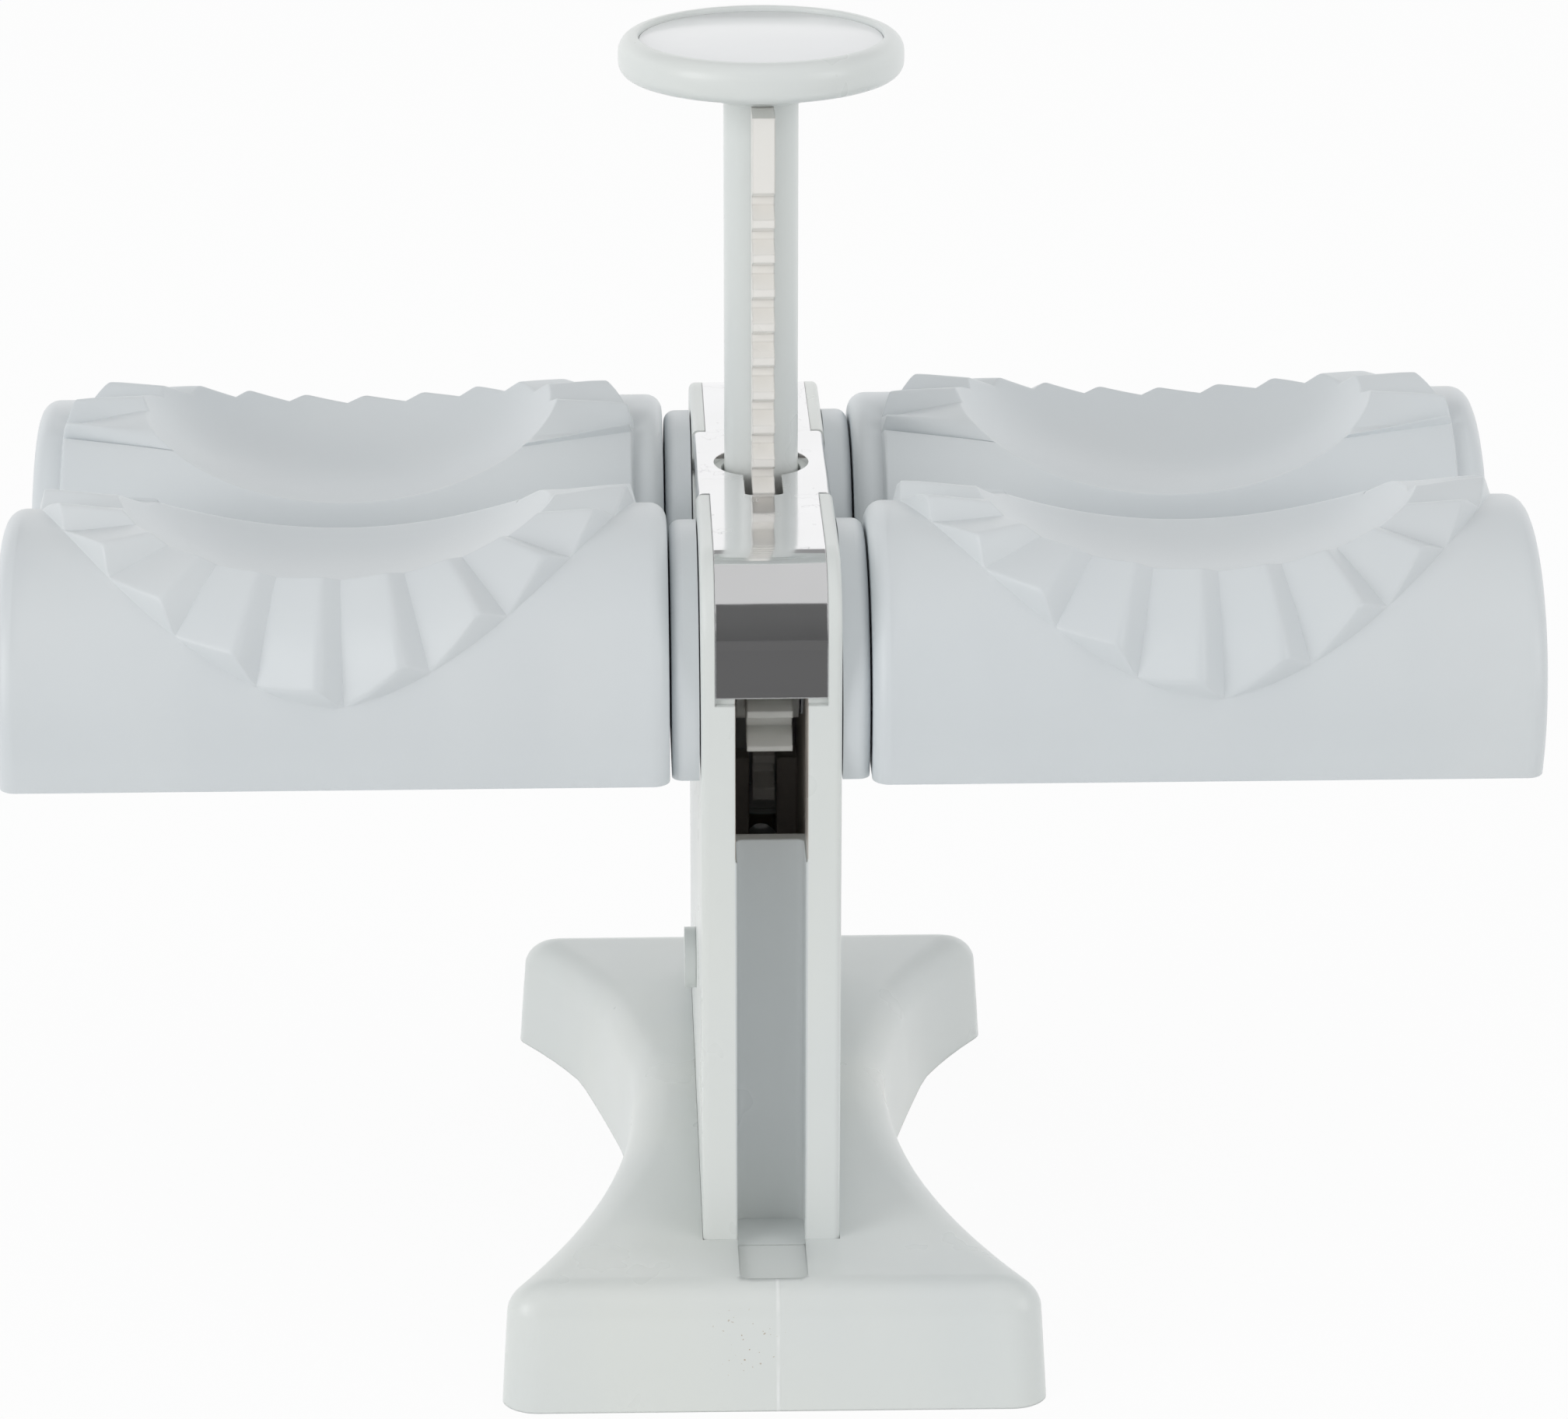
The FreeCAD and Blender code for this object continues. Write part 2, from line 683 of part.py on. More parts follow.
def make_return_spring():
    low = size("foot_height") + size("flange_thick") + size("wire_radius")
    high = size("bore_top") - size("wire_radius")
    radius = size("coil_radius")
    quarters = round(size("coil_turns") * 4)
    close = 2 * size("wire_radius") + size("coil_gap")
    end_quarters = 4
    open_rise = (high - low - 2 * close) / (quarters - 2 * end_quarters)
    levels = [low]
    for step in range(quarters):
        at_end = step < end_quarters or step >= quarters - end_quarters
        levels.append(levels[-1] + (close / end_quarters if at_end else open_rise))
    points = []
    ways = []
    for step, level in enumerate(levels):
        turn = math.pi / 2 * step
        before = levels[max(step - 1, 0)]
        after = levels[min(step + 1, quarters)]
        rise = (after - before) / (math.pi / 2 * (2 if 0 < step < quarters else 1))
        points.append(Vector(radius * math.cos(turn), radius * math.sin(turn), level))
        ways.append(Vector(-radius * math.sin(turn), radius * math.cos(turn), rise).normalize())
    edges = []
    for step in range(quarters):
        first, second = bend_between(points[step], ways[step], points[step + 1], ways[step + 1])
        edges += [first, second]
    path = Part.Wire(Part.__sortEdges__(edges))
    section = Part.Wire(Part.makeCircle(size("wire_radius"), points[0], ways[0]))
    shell = Part.BRepOffsetAPI.MakePipeShell(path)
    shell.add(section)
    shell.build()
    shell.makeSolid()
    spring = doc.addObject("Part::Feature", "return_spring")
    spring.Shape = shell.shape()
    spring.Label = "return_spring"
    least = min(levels[step + 4] - levels[step] for step in range(quarters - 3))
    print("return_spring: least gap between turns", round(least - 2 * size("wire_radius"), 2), "mm,",
          "volume over section times length",
          round(spring.Shape.Volume / (math.pi * size("wire_radius") ** 2 * path.Length), 4))
    return spring


# Rollers: everything on one axis is made about the origin and then put in its place.
# The rear roller is the front one turned half round about Z.

def place_roller(item, rear, shift="0"):
    item.Placement = Placement(Vector(0, 0, 0), Rotation(Vector(0, 0, 1), 180 if rear else 0))
    sign = "-" if rear else ""
    bind(item, "Placement.Base.x", f"{sign}({shift})")
    bind(item, "Placement.Base.y", "axis_spread / 2" if rear else "-axis_spread / 2")
    bind(item, "Placement.Base.z", "axis_height")


def involute_flank(base, start, finish, steps):
    # distance from the centre and angle from the flank's start on the base circle
    flank = []
    for step in range(steps + 1):
        radius = start + (finish - start) * step / steps
        opening = math.acos(min(1, base / radius))
        flank.append((radius, math.tan(opening) - opening))
    return flank


def make_gear(name, rear):
    body = new_body(name)
    module = size("tooth_module")
    teeth = size("gear_teeth")
    pitch_radius = module * teeth / 2
    root_radius = "tooth_module * (gear_teeth / 2 - 1.25)"
    blank = new_sketch(body, "blank", "YZ_Plane")
    circle(blank, "0", "0", root_radius)
    pad(blank, "gear_width", both_ways=True)

    # the lower part of the blank is left out between the last teeth
    wedge = new_sketch(body, "wedge", "YZ_Plane")
    wide = "3 * tooth_module * gear_teeth"
    low = "(first_tooth - 180 / gear_teeth)"
    far = "(first_tooth + (sector_teeth - 0.5) * 360 / gear_teeth)"
    outline(wedge, [
        ("0", "0"),
        (f"{wide} * cos({far} * 1 deg)", f"{wide} * sin({far} * 1 deg)"),
        (f"-{wide}", f"-{wide}"),
        (wide, f"-{wide}"),
        (f"{wide} * cos({low} * 1 deg)", f"{wide} * sin({low} * 1 deg)"),
    ])
    pocket(wedge, "gear_width * 2", both_ways=True)
    hub = new_sketch(body, "hub", "YZ_Plane")
    circle(hub, "0", "0", "gear_hub")
    pad(hub, "gear_hub_length", both_ways=True)
    hole = new_sketch(body, "hole", "YZ_Plane")
    edge = "(shaft_side / 2 + fit)"
    rectangle(hole, f"-{edge}", edge, f"-{edge}", edge)
    pocket(hole, "gear_hub_length * 2", both_ways=True)

    # one tooth with involute flanks, repeated round the sector
    pressure = math.radians(20)
    base_radius = pitch_radius * math.cos(pressure)
    half_tooth = (math.pi * module / 2 - size("tooth_play")) / 2 / pitch_radius
    at_base = half_tooth + math.tan(pressure) - pressure
    flank = involute_flank(base_radius, base_radius, pitch_radius + module, 5)
    right = [(radius, at_base - roll) for radius, roll in flank]
    right.insert(0, (module * (teeth / 2 - 1.25) * 0.95, at_base))
    around = [(radius, -turn) for radius, turn in right] + right[::-1]
    lead = math.radians(size("first_tooth"))
    tooth = new_sketch(body, "tooth", "YZ_Plane")
    corners = [Vector(radius * math.cos(lead + turn), radius * math.sin(lead + turn), 0)
               for radius, turn in around]
    for index, corner in enumerate(corners):
        tooth.addGeometry(Part.LineSegment(corner, corners[(index + 1) % len(corners)]))
    first = pad(tooth, "gear_width", both_ways=True)
    ring = body.newObject("PartDesign::PolarPattern", f"{name}_teeth")
    ring.Originals = [first]
    ring.Axis = (next(part for part in body.Origin.OriginFeatures if part.Role == "X_Axis"), [""])
    bind(ring, "Angle", "(sector_teeth - 1) * 360 / gear_teeth")
    ring.Occurrences = round(size("sector_teeth"))
    body.Tip = ring
    place_roller(body, rear)
    return body


def make_shaft(name, rear):
    body = new_body(name)
    section = new_sketch(body, "section", "YZ_Plane")
    rectangle(section, "-shaft_side / 2", "shaft_side / 2", "-shaft_side / 2", "shaft_side / 2")
    bar = pad(section, "shaft_length", both_ways=True)
    smooth(bar, "ends", "shaft_side / 10", lambda edge: lies_at(edge, x=size("shaft_length") / 2), "Chamfer")
    place_roller(body, rear)
    return body


def make_hub(name, side, rear):
    # a disc cut flat underneath, with a round journal that turns in the column's wall
    body = new_body(name)
    sign = "-" if side < 0 else ""
    start = "(column_width / 2 + rest_gap * 2 / 3)"
    disc = new_sketch(body, "disc", "YZ_Plane", f"{sign}{start}")
    circle(disc, "0", "0", "hub_radius")
    plate = pad(disc, "hub_thick", backwards=side < 0)
    outer = size("column_width") / 2 + size("rest_gap") * 2 / 3 + size("hub_thick")
    smooth(plate, "rim", "hub_round", lambda edge: lies_at(edge, x=outer) and edge.Length > 50)
    flat = new_sketch(body, "flat", "YZ_Plane")
    rectangle(flat, "-hub_radius * 2", "hub_radius * 2", "-hub_radius * 2", "-hub_flat")
    pocket(flat, "column_width * 4", both_ways=True)
    journal = new_sketch(body, "journal", "YZ_Plane", f"{sign}(gear_hub_length / 2 + rest_gap)")
    circle(journal, "0", "0", "journal_radius")
    pad(journal, f"{start} - gear_hub_length / 2 - rest_gap + hub_thick / 2", backwards=side < 0)
    hole = new_sketch(body, "hole", "YZ_Plane")
    edge = "(shaft_side / 2 + fit)"
    rectangle(hole, f"-{edge}", edge, f"-{edge}", edge)
    pocket(hole, "column_width * 4", both_ways=True)
    place_roller(body, rear)
    return body


# Half-barrel mould. Places on its skin are given on the unrolled barrel: x along the axis and
# s round it, from the top towards the outside.

def on_barrel(x, s, radius):
    turn = s / size("skin_radius")
    return Vector(x, -radius * math.sin(turn), radius * math.cos(turn))


def fan_line(turn):
    # inner and outer end of the line across the pleats at this angle of the fan
    across = math.sin(math.radians(turn))
    along = math.cos(math.radians(turn))
    outer_x = size("pleat_half_width") * across
    if along > 0:
        rise = (1 - abs(across) ** size("pleat_bulge")) ** size("pleat_crown")
        outer_s = size("pleat_start") + size("pleat_rise") * rise
    else:
        outer_x = math.copysign(size("pleat_half_width"), turn)
        outer_s = size("pleat_start") - (abs(turn) - 90) * size("pleat_slip")
    dip = size("rim_dip") * (abs(turn) / (size("pleat_count") * size("pleat_pitch"))) ** 8
    inner_x = size("rim_half_length") * across
    inner_s = size("rim_middle") + size("rim_half_width") * along - dip
    return Vector(inner_x, inner_s, 0), Vector(outer_x, outer_s, 0)


def fan_section(inner, outer, radius, low_radius, end_radius, setback):
    # closed section on one line of the fan, from inside the barrel's wall up to the pleat
    length = (outer - inner).Length
    start = inner + (inner - outer) * (size("rim_overlap") / length)
    finish = outer + (inner - outer) * (setback / length)
    steps = 5
    corners = [on_barrel(start.x, start.y, low_radius)]
    for step in range(steps + 1):
        spot = start + (finish - start) * (step / steps)
        corners.append(on_barrel(spot.x, spot.y, radius))
    corners.append(on_barrel(outer.x, outer.y, end_radius))
    corners.append(on_barrel(outer.x, outer.y, low_radius))
    corners.append(corners[0])
    return Part.makePolygon(corners)


def make_fan(name):
    middle = (size("axis_spread") - size("nip_gap")) / 2
    ridge = middle + size("pleat_height") / 2
    valley = middle - size("pleat_height") / 2
    low = size("mould_radius") - size("mould_wall") * 0.6
    pitch = size("pleat_pitch")
    half_drop = size("pleat_drop") / 2
    last = round(size("pleat_count"))
    stations = []
    for index in range(-last, last + 1):
        stations.append((index * pitch - half_drop, ridge))
        stations.append((index * pitch + half_drop, valley))
    end = last * pitch + half_drop + size("pleat_tail")
    stations = [(-end, middle)] + stations + [(end, middle)]
    sections = []
    for turn, radius in stations:
        inner, outer = fan_line(turn)
        setback = size("pleat_setback") * max(0.3, math.cos(math.radians(turn)))
        end_radius = min(radius, valley)
        sections.append(fan_section(inner, outer, radius, low, end_radius, setback))
    apron = middle - size("apron_drop")
    for side in (1, -1):
        extra = []
        for share in (0.4, 0.75, 1.0):
            inner, outer = fan_line(end)
            level = outer.y + (size("apron_join") - outer.y) * share
            lean = inner.y - outer.y
            spot_in = Vector(side * inner.x * (1 - 0.3 * share), level + lean * (1 - share), 0)
            spot_out = Vector(side * outer.x, level, 0)
            level_radius = apron - (size("fit") if share == 1.0 else 0)
            extra.append(fan_section(spot_in, spot_out, level_radius, low, level_radius,
                                     size("pleat_setback") * 0.3))
        sections = sections + extra if side > 0 else extra[::-1] + sections
    fan = doc.addObject("Part::Feature", name)
    fan.Shape = Part.makeLoft(sections, True, True)
    return fan


def lying_cylinder(name, radius, length, start):
    # cylinder along X from the given place
    rod = doc.addObject("Part::Cylinder", name)
    rod.Placement = Placement(Vector(0, 0, 0), Rotation(Vector(0, 1, 0), 90))
    bind(rod, "Radius", radius)
    bind(rod, "Height", length)
    bind(rod, "Placement.Base.x", start)
    return rod


def dish_form(name, wall, sides, levels):
    # lower half of an ellipsoid in flat facets, from its deepest point up past the skin
    lengthwise = (size("dish_half_length") + wall) * (1 + math.cos(math.pi / sides)) / 2
    widthwise = (size("dish_half_width") + wall) * (1 + math.cos(math.pi / sides)) / 2
    depth = size("dish_depth") + wall
    rings = [Part.Vertex(0, 0, size("dish_lift") - depth)]
    for level in range(1, levels + 1):
        climb = math.pi / 2 * level / levels
        height = size("dish_lift") - depth * math.cos(climb)
        corners = []
        for step in range(sides + 1):
            turn = 2 * math.pi * (step + 0.5) / sides
            corners.append(Vector(lengthwise * math.sin(climb) * math.cos(turn),
                                  widthwise * math.sin(climb) * math.sin(turn), height))
        corners[-1] = corners[0]
        rings.append(Part.makePolygon(corners))
    form = doc.addObject("Part::Feature", name)
    form.Shape = Part.makeLoft(rings, True, True)
    form.Placement = Placement(Vector(0, 0, 0), Rotation(Vector(1, 0, 0), -size("dish_turn")))
    return form


def make_barrel():
    # drum with its end rims rounded in three flat steps
    profile = doc.addObject("Sketcher::SketchObject", "mould_profile")
    half = "mould_length / 2"
    corners = [(f"-{half}", "0"), (half, "0")]
    for lean in (0, 30, 60, 90):
        corners.append((f"{half} - mould_round * (1 - cos({lean} deg))",
                        f"mould_radius - mould_round * (1 - sin({lean} deg))"))
    for lean in (90, 60, 30, 0):
        corners.append((f"-({half}) + mould_round * (1 - cos({lean} deg))",
                        f"mould_radius - mould_round * (1 - sin({lean} deg))"))
    outline(profile, corners)
    barrel = doc.addObject("Part::Revolution", "mould_barrel")
    barrel.Source = profile
    barrel.Axis = Vector(1, 0, 0)
    barrel.Angle = 360
    barrel.Solid = True
    return barrel


def make_mould_forms():
    # the skin with its dish, and the hollow underneath
    half = "mould_length / 2"
    barrel = make_barrel()
    apron = lying_cylinder("mould_apron", "(axis_spread - nip_gap) / 2 - apron_drop",
                           "2 * pleat_half_width", "-pleat_half_width")
    apron.Angle = 90
    apron.Placement.Rotation = Rotation(Vector(1, 0, 0), size("apron_turn")) * apron.Placement.Rotation
    outside = combine("Fuse", "mould_outside", combine("Fuse", "mould_skin", barrel, apron), make_fan("mould_fan"))
    below = doc.addObject("Part::Box", "mould_below")
    bind(below, "Length", "2 * mould_length")
    bind(below, "Width", "4 * mould_radius")
    bind(below, "Height", "2 * mould_radius")
    bind(below, "Placement.Base.x", "-mould_length")
    bind(below, "Placement.Base.y", "-2 * mould_radius")
    bind(below, "Placement.Base.z", "-2 * mould_radius - mould_flat")
    halved = combine("Cut", "mould_halved", outside, below)
    dished = combine("Cut", "mould_dished", halved, dish_form("mould_dish", 0, 24, 6))

    # hollow underneath, with a sleeve round the shaft
    core = lying_cylinder("mould_core", "mould_radius - mould_wall", "mould_length - 2 * mould_wall",
                          f"-({half} - mould_wall)")
    room = combine("Cut", "mould_room", core, dish_form("mould_dish_wall", size("mould_wall"), 16, 4))
    return dished, room


def make_mould(name, side, rear, outside, room):
    # the sleeve and the shaft's square hole are at the end that faces the column
    facing = "" if side > 0 else "-"
    near_end = "(column_width / 2 + rest_gap * 5 / 3 + hub_thick)"
    depth = f"(shaft_length / 2 - {near_end} + sleeve_wall)"
    start = "-mould_length / 2" if side > 0 else f"mould_length / 2 - {depth}"
    sleeve = lying_cylinder(f"{name}_sleeve", "sleeve_radius", depth, start)
    hollow = combine("Cut", f"{name}_hollow", room, sleeve)
    shell = combine("Cut", f"{name}_shell", outside, hollow)
    hole = doc.addObject("Part::Box", f"{name}_hole")
    bind(hole, "Length", f"{depth} - sleeve_wall + rest_gap")
    bind(hole, "Width", "shaft_side + 2 * fit")
    bind(hole, "Height", "shaft_side + 2 * fit")
    hole_start = "-mould_length / 2" if side > 0 else f"mould_length / 2 - {depth} + sleeve_wall - rest_gap"
    bind(hole, "Placement.Base.x", hole_start)
    bind(hole, "Placement.Base.y", "-shaft_side / 2 - fit")
    bind(hole, "Placement.Base.z", "-shaft_side / 2 - fit")
    mould = combine("Cut", name, shell, hole)
    mould.Label = name
    place_roller(mould, rear, f"{facing}({near_end} + mould_length / 2)")
    return mould


def make_side_plug():
    disc = lying_cylinder("side_plug_disc", "plug_radius", "plug_stand", "-column_width / 2 - plug_stand")
    shank = lying_cylinder("side_plug_shank", "plug_radius * 0.6", "plug_shank", "-column_width / 2")
    for rod in (disc, shank):
        bind(rod, "Placement.Base.z", "plug_height")
    plug = combine("Fuse", "side_plug", disc, shank)
    plug.Label = "side_plug"
    return plug


def make_all():
    nodes = [make_base(), make_column(), make_cover_strap(), make_side_plug(), make_column_screws()]
    nodes.append(make_screw("guide_screw", "0", "foot_height - seat_block", True))
    nodes.append(make_spring_guide())
    nodes.append(make_return_spring())
    nodes.append(make_plunger())
    ring_low = "chamber_floor - guide_ledge - rest_gap - ring_height"
    nodes.append(make_ring("stop_ring", "ring_radius", "stem_radius", ring_low, "ring_height"))
    nodes.append(make_button_head())
    nodes.append(make_button_plate())
    seat = "button_base + button_height - plate_sunk - plate_thick - screw_head_thick"
    nodes.append(make_screw("button_screw", "0", seat, False))
    outside, room = make_mould_forms()
    for roller, rear in (("front", False), ("rear", True)):
        nodes.append(make_gear(f"{roller}_gear", rear))
        nodes.append(make_shaft(f"{roller}_shaft", rear))
        for hand, side in (("left", -1), ("right", 1)):
            if rear:
                side = -side
            nodes.append(make_hub(f"{roller}_{hand}_hub", side, rear))
            nodes.append(make_mould(f"{roller}_{hand}_mould", side, rear, outside, room))
    return nodes


nodes = make_all()
doc.recompute()
for item in doc.Objects:
    state = " ".join(item.State)
    if "Invalid" in state or "Error" in state:
        raise RuntimeError(f"{item.Name}: {state} {item.getStatusString()}")
for node in nodes:
    if node.Shape.isNull() or not node.Shape.isValid():
        raise RuntimeError(f"{node.Label}: its shape is not valid")
os.makedirs("parts", exist_ok=True)
for node in nodes:
    node.Shape.exportStep(f"parts/{node.Label}.step")
print(len(nodes), "nodes written")
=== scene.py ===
import math
import bmesh
import bpy
from mathutils import Euler, Matrix, Vector


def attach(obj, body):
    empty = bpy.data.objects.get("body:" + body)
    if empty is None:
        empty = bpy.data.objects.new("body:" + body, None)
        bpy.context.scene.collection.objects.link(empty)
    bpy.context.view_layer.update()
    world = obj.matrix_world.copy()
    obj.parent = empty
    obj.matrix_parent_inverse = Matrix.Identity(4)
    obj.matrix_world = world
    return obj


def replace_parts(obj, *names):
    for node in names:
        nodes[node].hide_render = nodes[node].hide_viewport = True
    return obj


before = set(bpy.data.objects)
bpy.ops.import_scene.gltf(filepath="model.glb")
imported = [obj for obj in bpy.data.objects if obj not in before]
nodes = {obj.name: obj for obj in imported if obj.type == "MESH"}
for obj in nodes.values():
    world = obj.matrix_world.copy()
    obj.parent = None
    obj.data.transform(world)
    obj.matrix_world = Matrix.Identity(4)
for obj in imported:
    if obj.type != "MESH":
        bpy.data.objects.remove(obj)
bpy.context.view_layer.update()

mm = 0.001


# small helpers for meshes

def newPiece(name, bm, body, slot, sharpAngle=32):
    mesh = bpy.data.meshes.new(name)
    bm.to_mesh(mesh)
    bm.free()
    mesh.polygons.foreach_set("use_smooth", [True] * len(mesh.polygons))
    mesh.set_sharp_from_angle(angle=math.radians(sharpAngle))
    piece = bpy.data.objects.new(name, mesh)
    bpy.context.scene.collection.objects.link(piece)
    piece.data.materials.append(materials[slot])
    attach(piece, body)
    return piece


def evenShading(piece):
    # large flat faces keep their shading flat beside small rounded ones
    modifier = piece.modifiers.new("evenShading", "WEIGHTED_NORMAL")
    modifier.keep_sharp = True


def boundaryAt(bm, across, tolerance=0.01):
    return [edge for edge in bm.edges if edge.is_boundary
            and all(abs(abs(vert.co.x) - across) < tolerance for vert in edge.verts)]


def smoothMin(a, b, blend):
    # lower of two heights, with the crease between them rounded
    share = max(blend - abs(a - b), 0) / blend
    return min(a, b) - share * share * blend / 4


# small helpers for materials

def addNode(tree, kind, inputs=None, **settings):
    node = tree.nodes.new(kind)
    for key, value in settings.items():
        setattr(node, key, value)
    for key, value in (inputs or {}).items():
        node.inputs[key].default_value = value
    return node


def noiseAt(tree, where, scale, detail=2.0, roughness=0.5, stretch=None):
    source = where
    if stretch:
        mapping = addNode(tree, "ShaderNodeMapping", {"Scale": stretch})
        tree.links.new(where, mapping.inputs["Vector"])
        source = mapping.outputs["Vector"]
    noise = addNode(tree, "ShaderNodeTexNoise", {"Scale": scale, "Detail": detail, "Roughness": roughness})
    tree.links.new(source, noise.inputs["Vector"])
    return noise.outputs["Fac"]


def remap(tree, value, low, high, toLow, toHigh):
    node = addNode(tree, "ShaderNodeMapRange", {"From Min": low, "From Max": high, "To Min": toLow, "To Max": toHigh})
    tree.links.new(value, node.inputs["Value"])
    return node.outputs["Result"]


def mixColour(tree, factor, first, second, way="MIX"):
    node = addNode(tree, "ShaderNodeMix", data_type="RGBA", blend_type=way)
    for value, socket in ((factor, node.inputs[0]), (first, node.inputs[6]), (second, node.inputs[7])):
        if isinstance(value, bpy.types.NodeSocket):
            tree.links.new(value, socket)
        elif isinstance(value, (int, float)):
            socket.default_value = value
        else:
            socket.default_value = (*value, 1)
    return node.outputs[2]


def calculate(tree, operation, first, second):
    node = addNode(tree, "ShaderNodeMath", operation=operation)
    for value, socket in ((first, node.inputs[0]), (second, node.inputs[1])):
        if isinstance(value, bpy.types.NodeSocket):
            tree.links.new(value, socket)
        else:
            socket.default_value = value
    return node.outputs[0]


def startMaterial(name):
    material = bpy.data.materials.new(name)
    material.use_nodes = True
    tree = material.node_tree
    tree.nodes.clear()
    output = addNode(tree, "ShaderNodeOutputMaterial")
    shader = addNode(tree, "ShaderNodeBsdfPrincipled")
    tree.links.new(shader.outputs["BSDF"], output.inputs["Surface"])
    where = addNode(tree, "ShaderNodeTexCoord").outputs["Object"]
    return material, tree, shader, where


def softBump(tree, shader, heights, softEdge=0.0):
    # stacks bump maps of (height, strength, distance) and rounds the look of sharp edges
    normal = None
    if softEdge:
        normal = addNode(tree, "ShaderNodeBevel", {"Radius": softEdge}, samples=4).outputs["Normal"]
    for height, strength, distance in heights:
        bump = addNode(tree, "ShaderNodeBump", {"Strength": strength, "Distance": distance})
        tree.links.new(height, bump.inputs["Height"])
        if normal:
            tree.links.new(normal, bump.inputs["Normal"])
        normal = bump.outputs["Normal"]
    tree.links.new(normal, shader.inputs["Normal"])


def placeOf(tree, where):
    # x, y, z of the surface, and the distances of x and y from the middle planes
    split = addNode(tree, "ShaderNodeSeparateXYZ")
    tree.links.new(where, split.inputs["Vector"])
    x, y, z = split.outputs
    return x, y, z, calculate(tree, "ABSOLUTE", x, 0.0), calculate(tree, "ABSOLUTE", y, 0.0)


def chamberPaintedShade(tree, where):
    # painted shade: the inside of the gear chamber and of the pits in its floor is coloured dark brown, standing in
    # for the shade there
    x, y, z, across, along = placeOf(tree, where)
    above = calculate(tree, "GREATER_THAN", z, 0.0840)
    pit = calculate(tree, "LESS_THAN", along, 0.04285)
    return calculate(tree, "MULTIPLY", calculate(tree, "LESS_THAN", across, 0.0056),
                     calculate(tree, "MAXIMUM", above, pit))


def groovePaintedShade(tree, where):
    # painted shade: the half-round grooves below the window are coloured a darker grey, more so higher up
    x, y, z, across, along = placeOf(tree, where)
    inside = calculate(tree, "MULTIPLY", calculate(tree, "LESS_THAN", across, 0.0056),
                       calculate(tree, "LESS_THAN", z, 0.0835))
    inside = calculate(tree, "MULTIPLY", inside, calculate(tree, "GREATER_THAN", along, 0.0430))
    return calculate(tree, "MULTIPLY", inside, remap(tree, z, 0.016, 0.034, 0.1, 0.85))


def rackWear(tree, where):
    # the two racks are a warmer, rubbed white
    x, y, z, across, along = placeOf(tree, where)
    return calculate(tree, "MULTIPLY", calculate(tree, "LESS_THAN", across, 0.0019),
                     calculate(tree, "GREATER_THAN", along, 0.0059))


def frontMarks(tree, where):
    # a few brown pin marks left of the weld line on the foot's front face
    near = addNode(tree, "ShaderNodeVectorMath", {1: (-0.0045, -0.0745, 0.0115)}, operation="DISTANCE")
    tree.links.new(where, near.inputs[0])
    spots = calculate(tree, "GREATER_THAN", noiseAt(tree, where, 1700.0, 1.0), 0.73)
    return calculate(tree, "MULTIPLY", remap(tree, near.outputs["Value"], 0.003, 0.0075, 0.8, 0.0), spots)


def weldLine(tree, where):
    # thin pale line down the middle of the foot's front
    x, y, z, across, along = placeOf(tree, where)
    off = calculate(tree, "ABSOLUTE", calculate(tree, "SUBTRACT", x, 0.0005), 0.0)
    line = calculate(tree, "MULTIPLY", remap(tree, off, 0.00012, 0.00042, 1.0, 0.0),
                     calculate(tree, "LESS_THAN", y, -0.0686))
    return calculate(tree, "MULTIPLY", line, remap(tree, noiseAt(tree, where, 240.0), 0.35, 0.6, 0.35, 1.0))


def mouldedPlastic(name, look):
    # satin moulded plastic: cloudy tint, spark-eroded grain, a few dark specks, faint handling marks
    material, tree, shader, where = startMaterial(name)
    cloud = noiseAt(tree, where, look["cloudScale"], 3.0)
    colour = mixColour(tree, remap(tree, cloud, 0.35, 0.65, 0.0, 1.0), look["colour"], look["tint"])
    streak = noiseAt(tree, where, 38.0, 2.0, 0.5, (1.0, 1.0, 0.35))
    colour = mixColour(tree, remap(tree, streak, 0.45, 0.75, 0.0, 0.5), colour, look["shade"])
    # single specks: cells picked by their random colour, and a small dot in each
    cells = addNode(tree, "ShaderNodeTexVoronoi", {"Scale": look["speckScale"], "Randomness": 1.0})
    tree.links.new(where, cells.inputs["Vector"])
    dot = remap(tree, cells.outputs["Distance"], look["speckSize"] * 0.6, look["speckSize"], 1.0, 0.0)
    split = addNode(tree, "ShaderNodeSeparateColor")
    tree.links.new(cells.outputs["Color"], split.inputs["Color"])
    chosen = calculate(tree, "GREATER_THAN", split.outputs["Red"], look["speckRarity"])
    speck = calculate(tree, "MULTIPLY", dot, chosen)
    colour = mixColour(tree, speck, colour, look["speckColour"])
    # rubbed marks, a little darker and duller
    rub = noiseAt(tree, where, 95.0, 6.0, 0.7, (1.0, 0.4, 1.3))
    rub = remap(tree, rub, 0.66, 0.78, 0.0, look["rub"])
    colour = mixColour(tree, rub, colour, look["rubColour"])
    for markOf, markColour in look.get("marks", ()):
        colour = mixColour(tree, markOf(tree, where), colour, markColour)
    tree.links.new(colour, shader.inputs["Base Color"])
    gloss = noiseAt(tree, where, 55.0, 3.0)
    roughness = remap(tree, gloss, 0.3, 0.7, look["roughness"] - 0.04, look["roughness"] + 0.05)
    tree.links.new(calculate(tree, "ADD", roughness, rub), shader.inputs["Roughness"])
    shader.inputs["IOR"].default_value = 1.5
    shader.inputs["Subsurface Weight"].default_value = look.get("glow", 0.0)
    shader.inputs["Subsurface Radius"].default_value = (1.0, 0.8, 0.55)
    shader.inputs["Subsurface Scale"].default_value = 0.0016
    grain = noiseAt(tree, where, 2600.0, 2.0)
    sink = noiseAt(tree, where, 26.0, 2.0)
    heights = [(sink, 0.25, 0.0008), (grain, look["grain"], 0.00006)]
    if "ridge" in look:
        heights.append((look["ridge"](tree, where), 0.8, 0.00012))
    softBump(tree, shader, heights, look.get("softEdge", 0.0))
    return material


